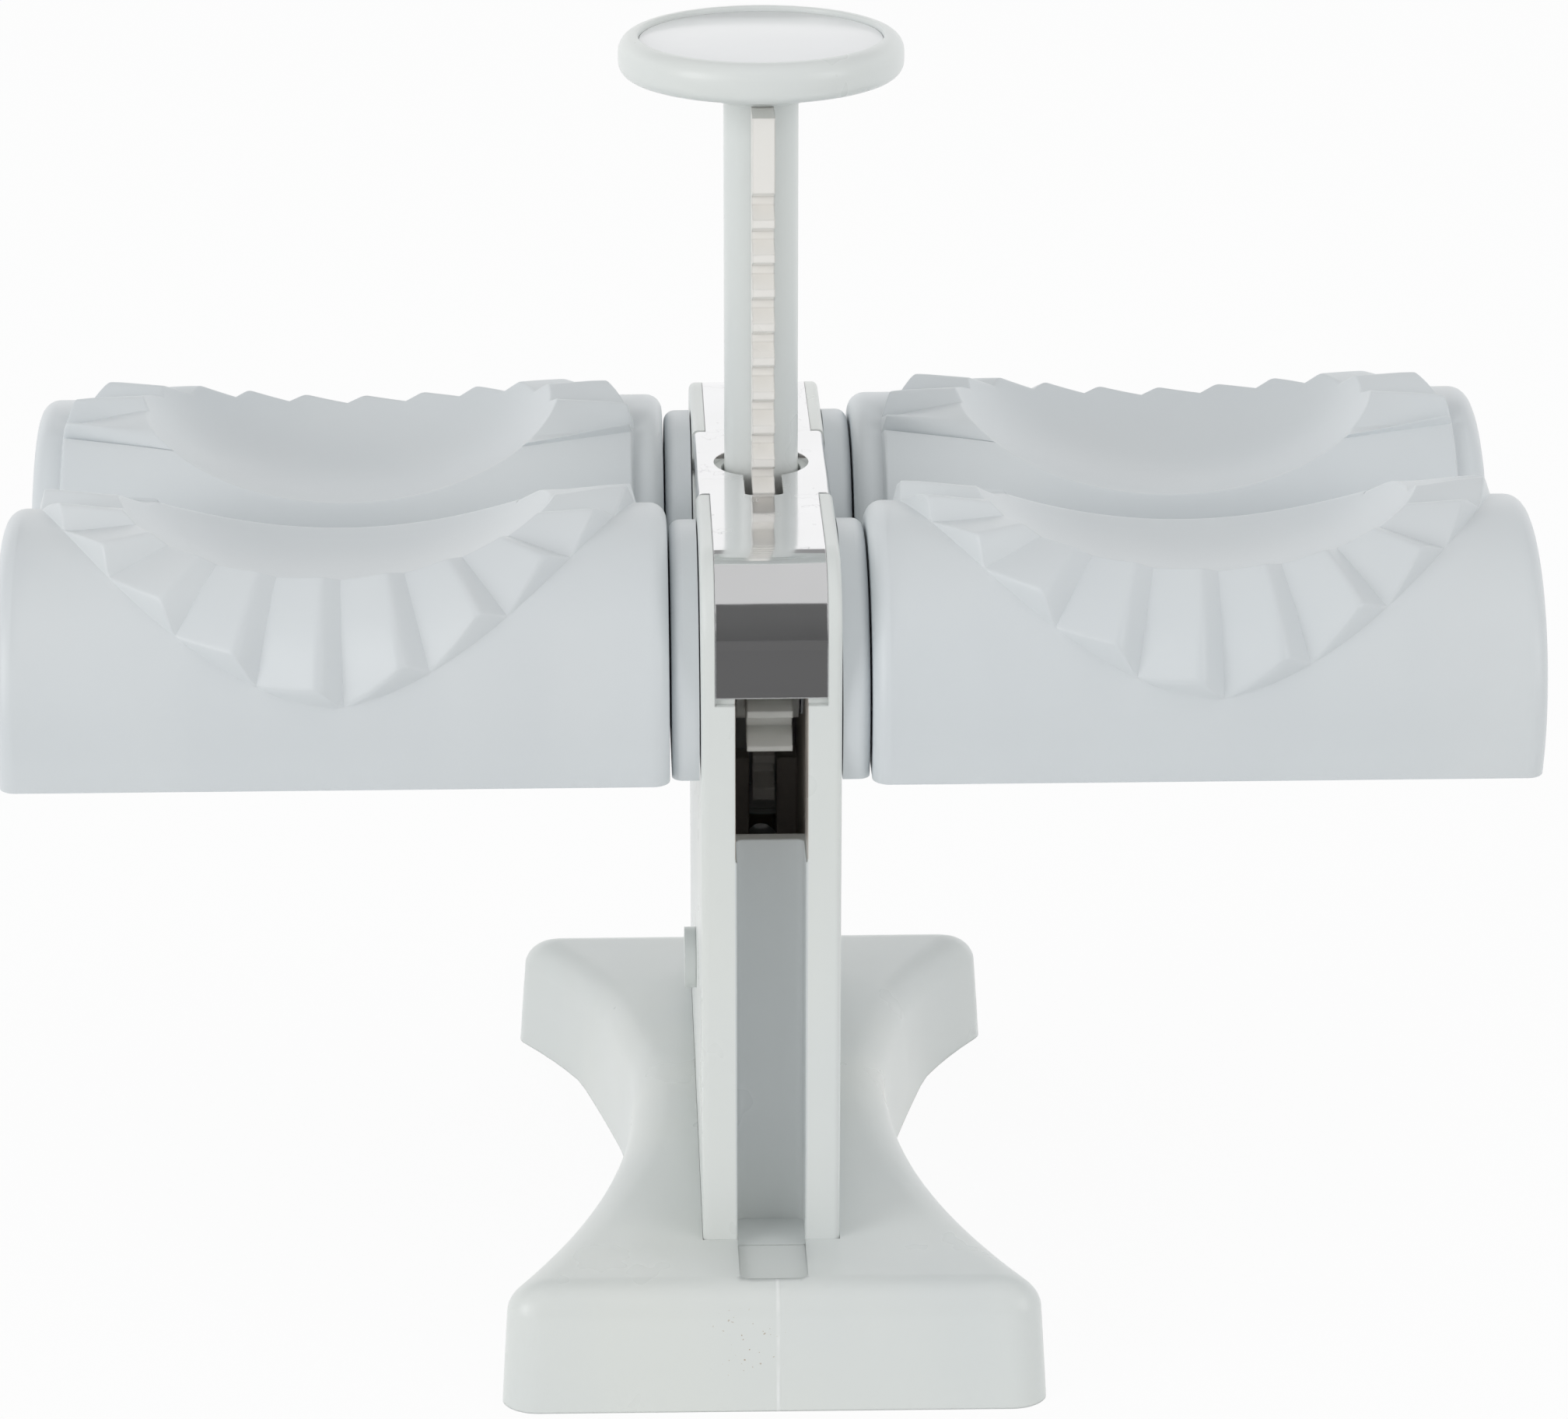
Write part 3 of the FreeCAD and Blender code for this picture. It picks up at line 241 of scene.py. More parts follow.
def sheetSteel(name, look):
    # bright steel: rolled waviness, faint brushed lines, cloudy dull patches
    material, tree, shader, where = startMaterial(name)
    cloud = noiseAt(tree, where, look["cloudScale"], 4.0)
    colour = mixColour(tree, remap(tree, cloud, 0.3, 0.7, 0.0, 1.0), look["colour"], look["tint"])
    # dried drops: a thin dull outline, and a slightly duller inside
    drop = noiseAt(tree, where, look["dropScale"], 3.0, 0.55)
    rim = calculate(tree, "ABSOLUTE", calculate(tree, "SUBTRACT", drop, 0.585), 0.0)
    rim = remap(tree, rim, 0.003, 0.011, look["drop"], 0.0)
    x, y, z, across, along = placeOf(tree, where)
    rim = calculate(tree, "MULTIPLY", rim, calculate(tree, "GREATER_THAN", z, look["dropsAbove"]))
    colour = mixColour(tree, rim, colour, look["dropColour"])
    tree.links.new(colour, shader.inputs["Base Color"])
    shader.inputs["Metallic"].default_value = 1.0
    lines = noiseAt(tree, where, 260.0, 4.0, 0.6, look["lineStretch"])
    roughness = remap(tree, lines, 0.3, 0.7, look["roughness"], look["roughness"] * 1.8)
    tree.links.new(calculate(tree, "ADD", roughness, rim), shader.inputs["Roughness"])
    wave = noiseAt(tree, where, look["waveScale"], 1.0)
    softBump(tree, shader, ((wave, look["wave"], 0.0005), (lines, look["lines"], 0.00003)), look.get("softEdge", 0.0))
    return material


# plastics and metals of this press

bodyLook = {
    "colour": (0.752, 0.778, 0.752), "tint": (0.735, 0.765, 0.757), "shade": (0.700, 0.735, 0.735),
    "cloudScale": 16.0, "speckScale": 95.0, "speckSize": 0.035, "speckRarity": 0.985,
    "speckColour": (0.21, 0.15, 0.10), "rub": 0.03, "rubColour": (0.62, 0.60, 0.54),
    "roughness": 0.30, "grain": 0.10, "softEdge": 0.0005,
}
footLook = dict(bodyLook, marks=((weldLine, (0.86, 0.88, 0.87)), (frontMarks, (0.40, 0.31, 0.20))), ridge=weldLine)
# painted shade: dark brown inside the gear chamber, and a darker grey in the grooves below the window
columnLook = dict(bodyLook, marks=((chamberPaintedShade, (0.560, 0.520, 0.480)), (groovePaintedShade, (0.640, 0.672, 0.680)),))
plungerLook = dict(bodyLook, marks=((rackWear, (0.880, 0.862, 0.825)),))
rollerLook = dict(bodyLook, colour=(0.668, 0.706, 0.728), tint=(0.690, 0.722, 0.738), shade=(0.640, 0.675, 0.700),
                  speckScale=70.0, speckSize=0.028, speckRarity=0.97, rub=0.04, roughness=0.38, softEdge=0.0)
gearLook = dict(bodyLook, colour=(0.745, 0.745, 0.700), tint=(0.720, 0.730, 0.700), rub=0.0, roughness=0.36)
innerLook = dict(bodyLook, colour=(0.70, 0.71, 0.69), tint=(0.67, 0.69, 0.68), rub=0.0, roughness=0.45)
plateLook = dict(bodyLook, colour=(0.835, 0.850, 0.865), tint=(0.845, 0.860, 0.868), shade=(0.820, 0.840, 0.855),
                 speckRarity=0.998, rub=0.0, roughness=0.12, grain=0.0, softEdge=0.0003)
strapLook = {
    "colour": (0.90, 0.90, 0.91), "tint": (0.86, 0.86, 0.865), "cloudScale": 45.0, "lineStretch": (1.0, 0.08, 1.0),
    "dropScale": 150.0, "drop": 0.22, "dropColour": (0.66, 0.66, 0.67), "dropsAbove": 0.1302,
    "roughness": 0.055, "waveScale": 60.0, "wave": 0.16, "lines": 0.05, "softEdge": 0.00025,
}
hardwareLook = {
    "colour": (0.56, 0.56, 0.55), "tint": (0.47, 0.47, 0.46), "cloudScale": 160.0, "lineStretch": (0.3, 1.0, 1.0),
    "dropScale": 300.0, "drop": 0.1, "dropColour": (0.40, 0.38, 0.36), "dropsAbove": -1.0,
    "roughness": 0.22, "waveScale": 200.0, "wave": 0.1, "lines": 0.15,
}

materials = {
    "body_plastic": mouldedPlastic("bodyPlastic", bodyLook),
    "foot": mouldedPlastic("footPlastic", footLook),
    "column": mouldedPlastic("columnPlastic", columnLook),
    "plunger": mouldedPlastic("plungerPlastic", plungerLook),
    "roller_plastic": mouldedPlastic("rollerPlastic", rollerLook),
    "gear_plastic": mouldedPlastic("gearPlastic", gearLook),
    "inner_plastic": mouldedPlastic("innerPlastic", innerLook),
    "plate_plastic": mouldedPlastic("platePlastic", plateLook),
    "bright_steel": sheetSteel("strapSteel", strapLook),
    "steel": sheetSteel("hardwareSteel", hardwareLook),
}

print("materials made:", len(materials))


# each carried-over node gets the material of its slot

nodeSlots = {
    "base": "foot", "column": "column", "side_plug": "body_plastic",
    "plunger": "plunger", "button_head": "body_plastic", "stop_ring": "inner_plastic",
    "button_plate": "plate_plastic", "spring_guide": "inner_plastic", "cover_strap": "bright_steel",
    "return_spring": "steel", "column_screws": "steel", "guide_screw": "steel", "button_screw": "steel",
}
for row in ("front", "rear"):
    nodeSlots[row + "_gear"] = "gear_plastic"
    nodeSlots[row + "_shaft"] = "steel"
    for side in ("left", "right"):
        nodeSlots[row + "_" + side + "_hub"] = "roller_plastic"
        nodeSlots[row + "_" + side + "_mould"] = "roller_plastic"
for nodeName, slotName in nodeSlots.items():
    nodes[nodeName].data.materials.clear()
    nodes[nodeName].data.materials.append(materials[slotName])

print("nodes dressed:", len(nodeSlots))


# foot: the tray with its four corners drawn out to their full width

foot = {
    "keep": 13.7, "waist": 21.5, "halfLength": 74.35, "tip": 41.2,
    "wideWaist": 22.6, "wideTip": 45.2, "waistAt": 13.0, "frontCurve": 2.08, "rearCurve": 2.2,
    "lean": 0.10,                          # how much less the ends lean in, per millimetre of height
}


def waistEdge(y):
    # half width of the frame's foot, whose waist is one arc
    depth = foot["tip"] - foot["waist"]
    radius = (foot["halfLength"] ** 2 + depth ** 2) / (2 * depth)
    return foot["waist"] + radius - math.sqrt(radius ** 2 - y ** 2)


def wideEdge(y):
    # half width wanted: a waist a little behind the middle, and corners further out
    way = 1 if y > foot["waistAt"] else -1
    share = (y - foot["waistAt"]) / (way * foot["halfLength"] - foot["waistAt"])
    curve = foot["rearCurve"] if way > 0 else foot["frontCurve"]
    return foot["wideWaist"] + (foot["wideTip"] - foot["wideWaist"]) * share ** curve


def makeFoot():
    bm = bmesh.new()
    bm.from_mesh(nodes["base"].data)
    bmesh.ops.remove_doubles(bm, verts=bm.verts[:], dist=1e-6)
    for vert in bm.verts:
        across = abs(vert.co.x) / mm
        y = max(-foot["halfLength"], min(vert.co.y / mm, foot["halfLength"]))
        edge = waistEdge(y)
        share = max(across - foot["keep"], 0) / (edge - foot["keep"])
        upright = foot["lean"] * vert.co.z / mm * (y / foot["halfLength"]) ** 2
        vert.co.x += math.copysign(share * (wideEdge(y) - edge + upright), vert.co.x) * mm
    piece = newPiece("footTray", bm, "stand", "body_plastic", 30)
    piece.data.materials[0] = materials["foot"]
    evenShading(piece)
    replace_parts(piece, "base")


# push button: a turned head with a soft rim, and the glossy disc in it

button = {
    "profile": (  # radius, height, size of the rounding
        (5.9, 190.0, 0.2), (8.6, 190.0, 0.6), (9.6, 193.9, 1.5), (22.2, 193.4, 2.2), (22.2, 199.7, 2.6),
        (19.05, 199.7, 0.35), (19.05, 198.25, 0.1), (3.25, 198.25, 0.1), (3.25, 196.2, 0.1), (1.7, 196.2, 0.1),
        (1.7, 192.05, 0.1), (5.9, 192.05, 0.1)),
    "steps": 128, "disc": 19.0, "discLow": 198.27, "discHigh": 198.95, "discBevel": 0.22,
}


def makeButton():
    bm = bmesh.new()
    corners = [bm.verts.new((radius, 0, height)) for radius, height, rounding in button["profile"]]
    for corner, following in zip(corners, corners[1:] + corners[:1]):
        bm.edges.new((corner, following))
    for corner, (radius, height, rounding) in zip(corners, button["profile"]):
        bmesh.ops.bevel(bm, geom=[corner], offset=rounding, segments=6, profile=0.5, affect="VERTICES", material=-1)
    bmesh.ops.spin(bm, geom=bm.verts[:] + bm.edges[:], cent=(0, 0, 0), axis=(0, 0, 1), angle=2 * math.pi,
                   steps=button["steps"], use_merge=True)
    bmesh.ops.remove_doubles(bm, verts=bm.verts[:], dist=0.001)
    bmesh.ops.recalc_face_normals(bm, faces=bm.faces[:])
    bmesh.ops.scale(bm, verts=bm.verts[:], vec=(mm, mm, mm))
    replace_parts(newPiece("buttonHead", bm, "plunger", "body_plastic", 35), "button_head")

    bm = bmesh.new()
    thick = button["discHigh"] - button["discLow"]
    bmesh.ops.create_cone(bm, cap_ends=True, segments=button["steps"], radius1=button["disc"],
                          radius2=button["disc"], depth=thick)
    top = [edge for edge in bm.edges if all(vert.co.z > 0 for vert in edge.verts)]
    bmesh.ops.bevel(bm, geom=top, offset=button["discBevel"], segments=3, profile=0.5, affect="EDGES", material=-1)
    bmesh.ops.translate(bm, verts=bm.verts[:], vec=(0, 0, (button["discHigh"] + button["discLow"]) / 2))
    bmesh.ops.scale(bm, verts=bm.verts[:], vec=(mm, mm, mm))
    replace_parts(newPiece("buttonDisc", bm, "plunger", "plate_plastic", 25), "button_plate")


makeFoot()
makeButton()
print("foot and button made")


# dumpling moulds: a thin drum with a dish, a fan of pleats and an apron down the nip side

mould = {
    "halfLength": 51.05, "radius": 27.2, "endRound": 2.7, "wall": 2.4, "cut": -8.5,
    "layout": 29.5,                        # radius on which the flat pattern is laid out
    "ridge": 30.45, "valley": 27.25, "middle": 28.85, "apron": 28.7,
    "pitch": 16.4, "drop": 4.6, "pleats": 6, "setback": 3.0, "rimFade": 0.5,
    "fanHalf": 46.4, "fanRise": 50.9, "fanStart": -10.0,
    "dish": (35.7, 32.6, 20.0), "dishLift": 36.0, "dishTurn": 7.3,
    "rim": (35.0, 26.3), "rimMiddle": -6.0,
    "reach": 66.0, "corner": 46.9, "backCorner": 150.0,
    "sleeveRadius": 5.5, "sleeveLength": 27.6,
    "spread": 29.0, "height": 104.5, "innerEnd": 15.4,
}


def pleatStations():
    # (turn, radius) of every ridge and valley, with the apron behind both ends of the fan
    half = mould["drop"] / 2
    found = []
    for index in range(-mould["pleats"], mould["pleats"] + 1):
        found.append((index * mould["pitch"] - half, mould["ridge"]))
        found.append((index * mould["pitch"] + half, mould["valley"]))
    end = mould["pleats"] * mould["pitch"] + half + 3
    return [(-180, mould["apron"]), (-end - 4, mould["apron"]), (-end, mould["middle"])] + found + [
        (end, mould["middle"]), (end + 4, mould["apron"]), (180, mould["apron"])]


stations = pleatStations()


def sawtooth(turn):
    for (startTurn, startRadius), (endTurn, endRadius) in zip(stations, stations[1:]):
        if turn <= endTurn:
            share = (turn - startTurn) / (endTurn - startTurn)
            return startRadius + (endRadius - startRadius) * share
    return stations[-1][1]


def pleatRadius(turn):
    # ridges are rounded over, valleys stay crisp
    around = sum(sawtooth(turn + lean) for lean in (-1.1, -0.7, -0.35, 0.0, 0.35, 0.7, 1.1)) / 7
    return min(around, sawtooth(turn))


def dishRadius(x, s, wall=0.0):
    # distance from the drum's axis to the dish, straight through this place of the flat pattern
    length, width, depth = (half + wall for half in mould["dish"])
    turn = s / mould["layout"] + math.radians(mould["dishTurn"])
    a = (math.sin(turn) / width) ** 2 + (math.cos(turn) / depth) ** 2
    b = 2 * mould["dishLift"] * math.cos(turn) / depth ** 2
    c = (mould["dishLift"] / depth) ** 2 + (x / length) ** 2 - 1
    inside = b * b - 4 * a * c
    return (b - math.sqrt(inside)) / (2 * a) if inside > 0 and b > 0 else 99.0


def patternEdge(turn, half, reach):
    # point of the flat pattern's outer rectangle that belongs to this turn
    side = math.copysign(1, turn)
    size = abs(turn)
    if size <= mould["corner"]:
        return Vector((half * turn / mould["corner"], reach - 4))
    if size <= mould["backCorner"]:
        share = (size - mould["corner"]) / (mould["backCorner"] - mould["corner"])
        return Vector((side * half, (reach - 4) * (1 - share) - reach * share))
    return Vector((side * half * (180 - size) / (180 - mould["backCorner"]), -reach))


def fanEnds(turn):
    # inner and outer end of the line across the pleats at this turn
    side = math.copysign(1, turn)
    size = abs(turn)
    across = math.sin(math.radians(turn))
    along = math.cos(math.radians(turn))
    end = mould["pleats"] * mould["pitch"] + mould["drop"] / 2 + 3
    if size <= 90:
        outer = Vector((mould["fanHalf"] * across,
                        mould["fanStart"] + mould["fanRise"] * (1 - abs(across) ** 1.56) ** 0.641))
    elif size <= end:
        outer = Vector((side * mould["fanHalf"], mould["fanStart"] - (size - 90) * 0.24))
    elif size <= mould["backCorner"]:
        share = (size - end) / (mould["backCorner"] - end)
        start = mould["fanStart"] - (end - 90) * 0.24
        outer = Vector((side * mould["fanHalf"], start + (-mould["reach"] - start) * share))
    else:
        outer = Vector((side * mould["fanHalf"] * (180 - size) / (180 - mould["backCorner"]), -mould["reach"]))
    dip = 5 * min(size / 98.4, 1.05) ** 8 * max(0, min(1, (180 - size) / 60))
    inner = Vector((mould["rim"][0] * across, mould["rimMiddle"] + mould["rim"][1] * along - dip))
    return inner, outer


def pleatAim(turn):
    # outer end, inner end and a point well inside the dish that the line runs to
    inner, outer = fanEnds(turn)
    last = mould["pleats"] * mould["pitch"]
    if abs(turn) <= last:
        return inner, outer, inner + (inner - outer).normalized() * 14
    # behind the fan the aim swings from the last pleat's line to the middle of the dish
    lastInner, lastOuter = fanEnds(math.copysign(last, turn))
    start = lastInner + (lastInner - lastOuter).normalized() * 14
    share = (abs(turn) - last) / (180 - last)
    return inner, outer, start.lerp(Vector((0, start.y)), share)


def pleatLine(turn):
    # (x, s, radius) of every row on one line: dish, rim, pleat, bevelled end, drum
    inner, outer, aim = pleatAim(turn)
    way = (aim - outer).normalized()
    length = (inner - outer).length
    top = pleatRadius(turn)
    setback = mould["setback"] * max(0.3, math.cos(math.radians(turn)))
    slope = (mould["ridge"] - mould["valley"]) / setback

    def skin(depth):
        fade = mould["rimFade"] + (1 - mould["rimFade"]) * max(0, min(1, (length - depth) / (length * 0.75)))
        pleat = mould["middle"] + (top - mould["middle"]) * fade
        bevel = mould["valley"] + slope * depth
        return max(smoothMin(pleat, bevel, 0.5), mould["radius"])

    def dishAt(depth):
        spot = outer + way * depth
        return dishRadius(spot.x, spot.y)

    # the rim is where the dish comes up through the skin
    low, high = 0.0, (aim - outer).length
    for step in range(40):
        middle = (low + high) / 2
        if dishAt(middle) > skin(middle):
            low = middle
        else:
            high = middle
    rimDepth = (low + high) / 2
    edgeDepth = max((top - mould["valley"]) / slope, 0.2)
    centre = Vector((0, mould["rimMiddle"]))
    rim = outer + way * rimDepth
    line = []
    inward = rim - centre
    for share in (0, 0.1, 0.2, 0.3, 0.4, 0.5, 0.59, 0.67, 0.75, 0.82, 0.88, 0.93):
        spot = centre + inward * share
        line.append((spot.x, spot.y, dishRadius(spot.x, spot.y)))
    for offset in (1.4, 0.8, 0.4, 0.2, 0.0, -0.2, -0.4, -0.8, -1.4):
        spot = rim + inward.normalized() * -offset if offset > 0 else outer + way * (rimDepth + offset)
        line.append((spot.x, spot.y, smoothMin(dishRadius(spot.x, spot.y), skin(rimDepth + offset), 0.45)))
    start, finish = rimDepth - 1.4, edgeDepth + 0.9
    depths = [start + (finish - start) * share for share in (0.2, 0.4, 0.6, 0.8, 1.0)]
    depths += [edgeDepth + 0.45, edgeDepth + 0.2, edgeDepth, edgeDepth * 0.8, edgeDepth * 0.5, edgeDepth * 0.2, 0.0]
    for depth in depths:
        spot = outer + way * depth
        line.append((spot.x, spot.y, skin(depth)))
    edge = patternEdge(turn, mould["halfLength"] - mould["endRound"], mould["reach"])
    for share in (0.015, 0.04, 0.08, 0.15, 0.23, 0.32, 0.41, 0.5, 0.59, 0.68, 0.76, 0.84, 0.92, 1.0):
        spot = outer + (edge - outer) * share
        line.append((spot.x, spot.y, mould["radius"]))
    return line


def roomLine(turn):
    # (x, s, radius) of the rows of the hollow underneath, with the dish's wall standing into it
    edge = patternEdge(turn, mould["halfLength"] - mould["wall"], mould["reach"])
    centre = Vector((0, mould["rimMiddle"]))
    room = mould["radius"] - mould["wall"]
    low, high = 0.0, 1.0
    for step in range(30):
        middle = (low + high) / 2
        spot = centre + (edge - centre) * middle
        if dishRadius(spot.x, spot.y, mould["wall"]) < room:
            low = middle
        else:
            high = middle
    shares = [low * part for part in (0, 0.2, 0.4, 0.6, 0.75, 0.88, 0.96, 1.0)]
    shares += [low + (1 - low) * part for part in (0.04, 0.12, 0.24, 0.36, 0.48, 0.6, 0.72, 0.84, 0.92, 1.0)]
    line = []
    for share in shares:
        spot = centre + (edge - centre) * share
        line.append((spot.x, spot.y, smoothMin(room, dishRadius(spot.x, spot.y, mould["wall"]), 0.8)))
    return line


def rolledSheet(bm, turns, lineOf):
    # a flat grid whose columns become the lines of the fan, rolled up round the drum's axis
    lines = [lineOf(turn) for turn in turns]
    rows = len(lines[0])
    made = bmesh.ops.create_grid(bm, x_segments=len(turns) - 1, y_segments=rows - 1, size=1.0)["verts"]
    for vert in made:
        column = round((vert.co.x + 1) / 2 * (len(turns) - 1))
        row = round((vert.co.y + 1) / 2 * (rows - 1))
        x, s, radius = lines[column][row]
        roll = s / mould["layout"]
        vert.co = (x, -radius * math.sin(roll), radius * math.cos(roll))
    bmesh.ops.remove_doubles(bm, verts=made, dist=0.004)


def closeEnds(bm, across):
    # flat end walls, each from its arc and the chord at the cut
    for side in (1, -1):
        arc = [edge for edge in boundaryAt(bm, across) if edge.verts[0].co.x * side > 0]
        tips = [vert for vert in {v for edge in arc for v in edge.verts}
                if sum(1 for edge in vert.link_edges if edge in arc) == 1]
        chord = bm.edges.new(tips)
        bmesh.ops.edgeloop_fill(bm, edges=arc + [chord])


def columnTurns():
    turns = []
    for (startTurn, startRadius), (endTurn, endRadius) in zip(stations, stations[1:]):
        span = endTurn - startTurn
        if span > 20:
            shares = [step / 26 for step in range(26)]
        elif span > 8:
            shares = (0, 0.04, 0.09, 0.2, 0.35, 0.5, 0.65, 0.8, 0.88, 0.92, 0.96)
        else:
            shares = (0, 0.1, 0.22, 0.4, 0.6, 0.8)
        turns += [startTurn + span * share for share in shares]
    turns += [180, mould["backCorner"], -mould["backCorner"]]
    turns = sorted(turns)
    return [turn for turn, after in zip(turns, turns[1:] + [999]) if after - turn > 0.05]


def makeMould(name, columnSide, rear):
    bm = bmesh.new()
    rolledSheet(bm, columnTurns(), pleatLine)
    # rounded end rims, drawn out from both side edges
    straight = mould["halfLength"] - mould["endRound"]
    edges = boundaryAt(bm, straight)
    for lean in (15, 30, 45, 60, 75, 90):
        grown = bmesh.ops.extrude_edge_only(bm, edges=edges)["geom"]
        out = straight + mould["endRound"] * math.sin(math.radians(lean))
        radius = mould["radius"] - mould["endRound"] * (1 - math.cos(math.radians(lean)))
        for vert in (item for item in grown if isinstance(item, bmesh.types.BMVert)):
            shrink = radius / math.hypot(vert.co.y, vert.co.z)
            vert.co = (math.copysign(out, vert.co.x), vert.co.y * shrink, vert.co.z * shrink)
        edges = [item for item in grown if isinstance(item, bmesh.types.BMEdge)]
    # flat underside
    everything = bm.verts[:] + bm.edges[:] + bm.faces[:]
    bmesh.ops.bisect_plane(bm, geom=everything, plane_co=(0, 0, mould["cut"]), plane_no=(0, 0, -1), clear_outer=True)
    closeEnds(bm, mould["halfLength"])
    bmesh.ops.recalc_face_normals(bm, faces=bm.faces[:])
    outerRim = [edge for edge in bm.edges if edge.is_boundary]
    skinFaces = set(bm.faces)

    room = bmesh.new()
    rolledSheet(room, [step * 5 for step in range(-36, 37)] + [], roomLine)
    everything = room.verts[:] + room.edges[:] + room.faces[:]
    bmesh.ops.bisect_plane(room, geom=everything, plane_co=(0, 0, mould["cut"]), plane_no=(0, 0, -1), clear_outer=True)
    closeEnds(room, mould["halfLength"] - mould["wall"])
    bmesh.ops.recalc_face_normals(room, faces=room.faces[:])
    bmesh.ops.reverse_faces(room, faces=room.faces[:])
    spare = bpy.data.meshes.new(name + "Room")
    room.to_mesh(spare)
    room.free()
    bm.from_mesh(spare)
    bpy.data.meshes.remove(spare)
    rims = [edge for edge in bm.edges if edge.is_boundary]
    bmesh.ops.bridge_loops(bm, edges=rims)

    # sleeve round the shaft: a closed round tube with its inner end rounded
    end = -mould["halfLength"] if columnSide > 0 else mould["halfLength"]
    turnUp = Matrix.Rotation(math.radians(90), 4, "Y")
    start = end - math.copysign(0.6, end)
    finish = end - math.copysign(mould["sleeveLength"], end)
    tube = bmesh.ops.create_cone(bm, cap_ends=True, segments=40, radius1=mould["sleeveRadius"],
                                 radius2=mould["sleeveRadius"], depth=abs(finish - start),
                                 matrix=Matrix.Translation(((start + finish) / 2, 0, 0)) @ turnUp)["verts"]
    caps = {edge for vert in tube for edge in vert.link_edges
            if abs(edge.verts[0].co.x - finish) < 0.01 and abs(edge.verts[1].co.x - finish) < 0.01}
    bmesh.ops.bevel(bm, geom=list(caps), offset=0.5, segments=3, profile=0.5, affect="EDGES", material=-1)

    # into place in the press
    if rear:
        bmesh.ops.rotate(bm, verts=bm.verts[:], cent=(0, 0, 0), matrix=Matrix.Rotation(math.pi, 3, "Z"))
    place = columnSide * (-1 if rear else 1) * (mould["innerEnd"] + mould["halfLength"])
    bmesh.ops.translate(bm, verts=bm.verts[:], vec=(place, mould["spread"] * (1 if rear else -1), mould["height"]))
    bmesh.ops.scale(bm, verts=bm.verts[:], vec=(mm, mm, mm))
    return newPiece(name, bm, "rear_roller" if rear else "front_roller", "roller_plastic", 40)


for row in ("front", "rear"):
    for side in ("left", "right"):
        towards = {"left": -1, "right": 1}[side] * (-1 if row == "rear" else 1)
        piece = makeMould(row + side.title() + "Mould", towards, row == "rear")
        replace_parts(piece, row + "_" + side + "_mould")
        print("mould made:", piece.name, len(piece.data.polygons), "faces")


# studio: pale floor, even light, a soft lamp above and dark cards that only the metal sees

studio = {
    "skyLight": 0.56, "backLight": 1.9, "mirrorFront": 0.64, "mirrorBand": 0.30,
    "topPower": 2.0, "topPlace": (0.35, -0.25, 1.5), "topSize": 1.3,
    "leftPower": 11.5, "leftPlace": (-1.45, -1.15, 0.70), "rightPower": 6.0, "rightPlace": (1.45, -1.15, 0.70),
    "sideSize": 1.1, "floorSize": 6.0, "floorColour": (0.86, 0.87, 0.87), "floorGlow": 0.93,
}


def makeFloor():
    bm = bmesh.new()
    bmesh.ops.create_grid(bm, x_segments=2, y_segments=2, size=studio["floorSize"] / 2)
    mesh = bpy.data.meshes.new("studioFloor")
    bm.to_mesh(mesh)
    bm.free()
    floor = bpy.data.objects.new("studioFloor", mesh)
    bpy.context.scene.collection.objects.link(floor)
    material, tree, shader, where = startMaterial("paleFloor")
    paper = noiseAt(tree, where, 6.0, 3.0)
    colour = mixColour(tree, remap(tree, paper, 0.3, 0.7, 0.0, 1.0), studio["floorColour"], (0.84, 0.85, 0.85))
    tree.links.new(colour, shader.inputs["Base Color"])
    shader.inputs["Roughness"].default_value = 0.7
    shader.inputs["Specular IOR Level"].default_value = 0.2
    # what the camera and mirrors see is mostly plain white, with the object's shadow left in
    path = addNode(tree, "ShaderNodeLightPath")
    seen = calculate(tree, "MAXIMUM", path.outputs["Is Camera Ray"], path.outputs["Is Glossy Ray"])
    seen = calculate(tree, "MAXIMUM", seen, path.outputs["Is Transmission Ray"])
    share = calculate(tree, "MULTIPLY", seen, studio["floorGlow"])
    glow = addNode(tree, "ShaderNodeEmission", {"Color": (1, 1, 1, 1), "Strength": 1.0})
    mixed = addNode(tree, "ShaderNodeMixShader")
    tree.links.new(share, mixed.inputs[0])
    tree.links.new(shader.outputs["BSDF"], mixed.inputs[1])
    tree.links.new(glow.outputs[0], mixed.inputs[2])
    output = next(node for node in tree.nodes if node.type == "OUTPUT_MATERIAL")
    tree.links.new(mixed.outputs[0], output.inputs["Surface"])
    mesh.materials.append(material)


def makeCard(name, low, high, level):
    # flat card that shows in mirror-like surfaces only
    bm = bmesh.new()
    bmesh.ops.create_grid(bm, x_segments=1, y_segments=1, size=0.5)
    middle = (Vector(low) + Vector(high)) / 2
    across, deep, tall = (Vector(high) - Vector(low))
    if tall > deep:
        bmesh.ops.rotate(bm, verts=bm.verts[:], cent=(0, 0, 0), matrix=Matrix.Rotation(math.pi / 2, 3, "X"))
    bmesh.ops.scale(bm, verts=bm.verts[:], vec=(across, max(deep, 1e-6), max(tall, 1e-6)))
    bmesh.ops.translate(bm, verts=bm.verts[:], vec=middle)
    mesh = bpy.data.meshes.new(name)
    bm.to_mesh(mesh)
    bm.free()
    card = bpy.data.objects.new(name, mesh)
    bpy.context.scene.collection.objects.link(card)
    material, tree, shader, where = startMaterial(name + "Paper")
    paper = noiseAt(tree, where, 3.0, 2.0)
    tree.links.new(mixColour(tree, paper, (level, level, level), (level * 0.9,) * 3), shader.inputs["Base Color"])
    shader.inputs["Roughness"].default_value = 0.9
    mesh.materials.append(material)
    for kind in ("visible_camera", "visible_diffuse", "visible_transmission", "visible_shadow"):
        setattr(card, kind, False)


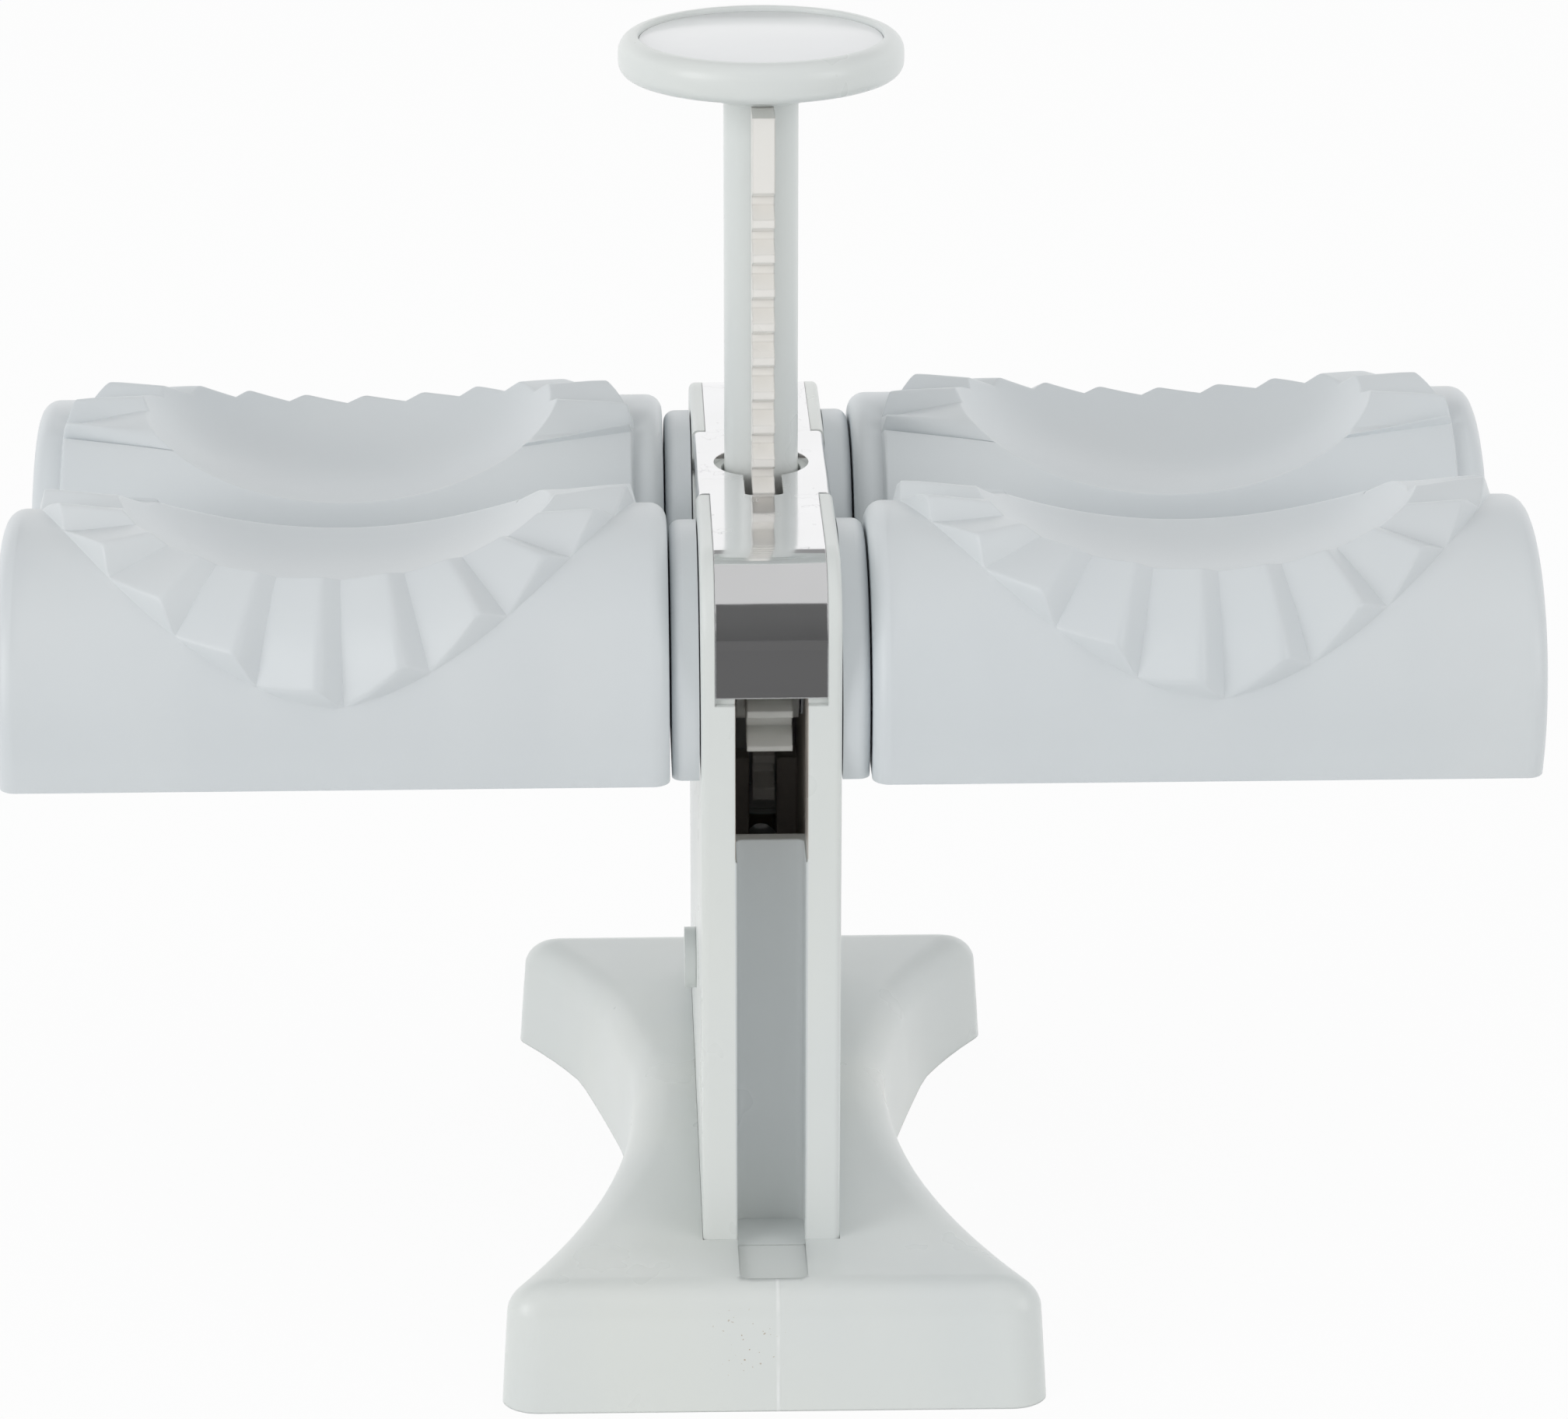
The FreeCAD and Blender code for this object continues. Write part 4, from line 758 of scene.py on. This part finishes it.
def makeLamp(name, place, power, size):
    data = bpy.data.lights.new(name, "AREA")
    data.energy = power
    data.size = size
    lamp = bpy.data.objects.new(name, data)
    bpy.context.scene.collection.objects.link(lamp)
    lamp.location = place
    lamp.rotation_euler = (Vector((0, 0, 0.08)) - Vector(place)).to_track_quat("-Z", "Y").to_euler()
    return lamp


def makeWorld():
    # even light, stronger low down behind the object; mirrors see a white back and a greyer front
    world = bpy.data.worlds.new("studioWorld")
    bpy.context.scene.world = world
    world.use_nodes = True
    tree = world.node_tree
    tree.nodes.clear()
    output = addNode(tree, "ShaderNodeOutputWorld")
    split = addNode(tree, "ShaderNodeSeparateXYZ")
    tree.links.new(addNode(tree, "ShaderNodeTexCoord").outputs["Generated"], split.inputs["Vector"])
    behind = calculate(tree, "MULTIPLY", remap(tree, split.outputs["Y"], 0.1, 0.9, 0.0, studio["backLight"]),
                       remap(tree, split.outputs["Z"], 0.1, 0.7, 1.0, 0.0))
    light = addNode(tree, "ShaderNodeBackground", {"Color": (1, 1, 1, 1)})
    tree.links.new(calculate(tree, "ADD", behind, studio["skyLight"]), light.inputs["Strength"])
    mirrored = addNode(tree, "ShaderNodeBackground", {"Color": (1, 1, 1, 1)})
    # a white back low down, a grey band above it, and a paler grey overhead and in front
    back = remap(tree, split.outputs["Y"], 0.0, 0.1, 0.0, 1.0)
    white = calculate(tree, "MULTIPLY", back, remap(tree, split.outputs["Z"], 0.52, 0.58, 1.0, 0.0))
    band = calculate(tree, "MULTIPLY", back, remap(tree, split.outputs["Z"], 0.78, 0.86, 1.0, 0.0))
    level = remap(tree, band, 0.0, 1.0, studio["mirrorFront"], studio["mirrorBand"])
    level = calculate(tree, "MAXIMUM", level, white)
    tree.links.new(level, mirrored.inputs["Strength"])
    seen = addNode(tree, "ShaderNodeBackground", {"Color": (1, 1, 1, 1), "Strength": 1.0})
    path = addNode(tree, "ShaderNodeLightPath")
    glossy = addNode(tree, "ShaderNodeMixShader")
    tree.links.new(path.outputs["Is Glossy Ray"], glossy.inputs[0])
    tree.links.new(light.outputs[0], glossy.inputs[1])
    tree.links.new(mirrored.outputs[0], glossy.inputs[2])
    plain = addNode(tree, "ShaderNodeMixShader")
    direct = calculate(tree, "MAXIMUM", path.outputs["Is Camera Ray"], path.outputs["Is Transmission Ray"])
    tree.links.new(direct, plain.inputs[0])
    tree.links.new(glossy.outputs[0], plain.inputs[1])
    tree.links.new(seen.outputs[0], plain.inputs[2])
    tree.links.new(plain.outputs[0], output.inputs["Surface"])


makeFloor()
makeCard("frontCard", (-1.6, -1.3, -0.1), (1.6, -1.3, 1.45), 0.085)
makeCard("tableCard", (-1.2, -1.3, 0.002), (1.2, -0.22, 0.002), 0.12)
makeLamp("topLamp", studio["topPlace"], studio["topPower"], studio["topSize"]).visible_glossy = False
makeLamp("leftLamp", studio["leftPlace"], studio["leftPower"], studio["sideSize"])
makeLamp("rightLamp", studio["rightPlace"], studio["rightPower"], studio["sideSize"])
makeWorld()

print("studio made")


# camera at the photograph's place

cameraView = {"place": (-24.39, -820.51, 389.67), "yaw": 0.134, "pitch": 20.155, "roll": -0.546, "lens": 123.99,
              "shift": 0.1032}


def makeCamera():
    data = bpy.data.cameras.new("photoCamera")
    data.lens = cameraView["lens"]
    data.sensor_width = 36.0
    data.shift_x = cameraView["shift"]
    data.clip_start = 0.01
    data.clip_end = 20.0
    camera = bpy.data.objects.new("photoCamera", data)
    bpy.context.scene.collection.objects.link(camera)
    camera.location = Vector(cameraView["place"]) * mm
    turn = Euler((math.radians(90 - cameraView["pitch"]), 0, math.radians(-cameraView["yaw"])))
    camera.rotation_euler = (turn.to_matrix() @ Matrix.Rotation(math.radians(cameraView["roll"]), 3, "Z")).to_euler()
    bpy.context.scene.camera = camera


makeCamera()
bpy.context.scene.view_settings.view_transform = "Standard"

print("camera placed")
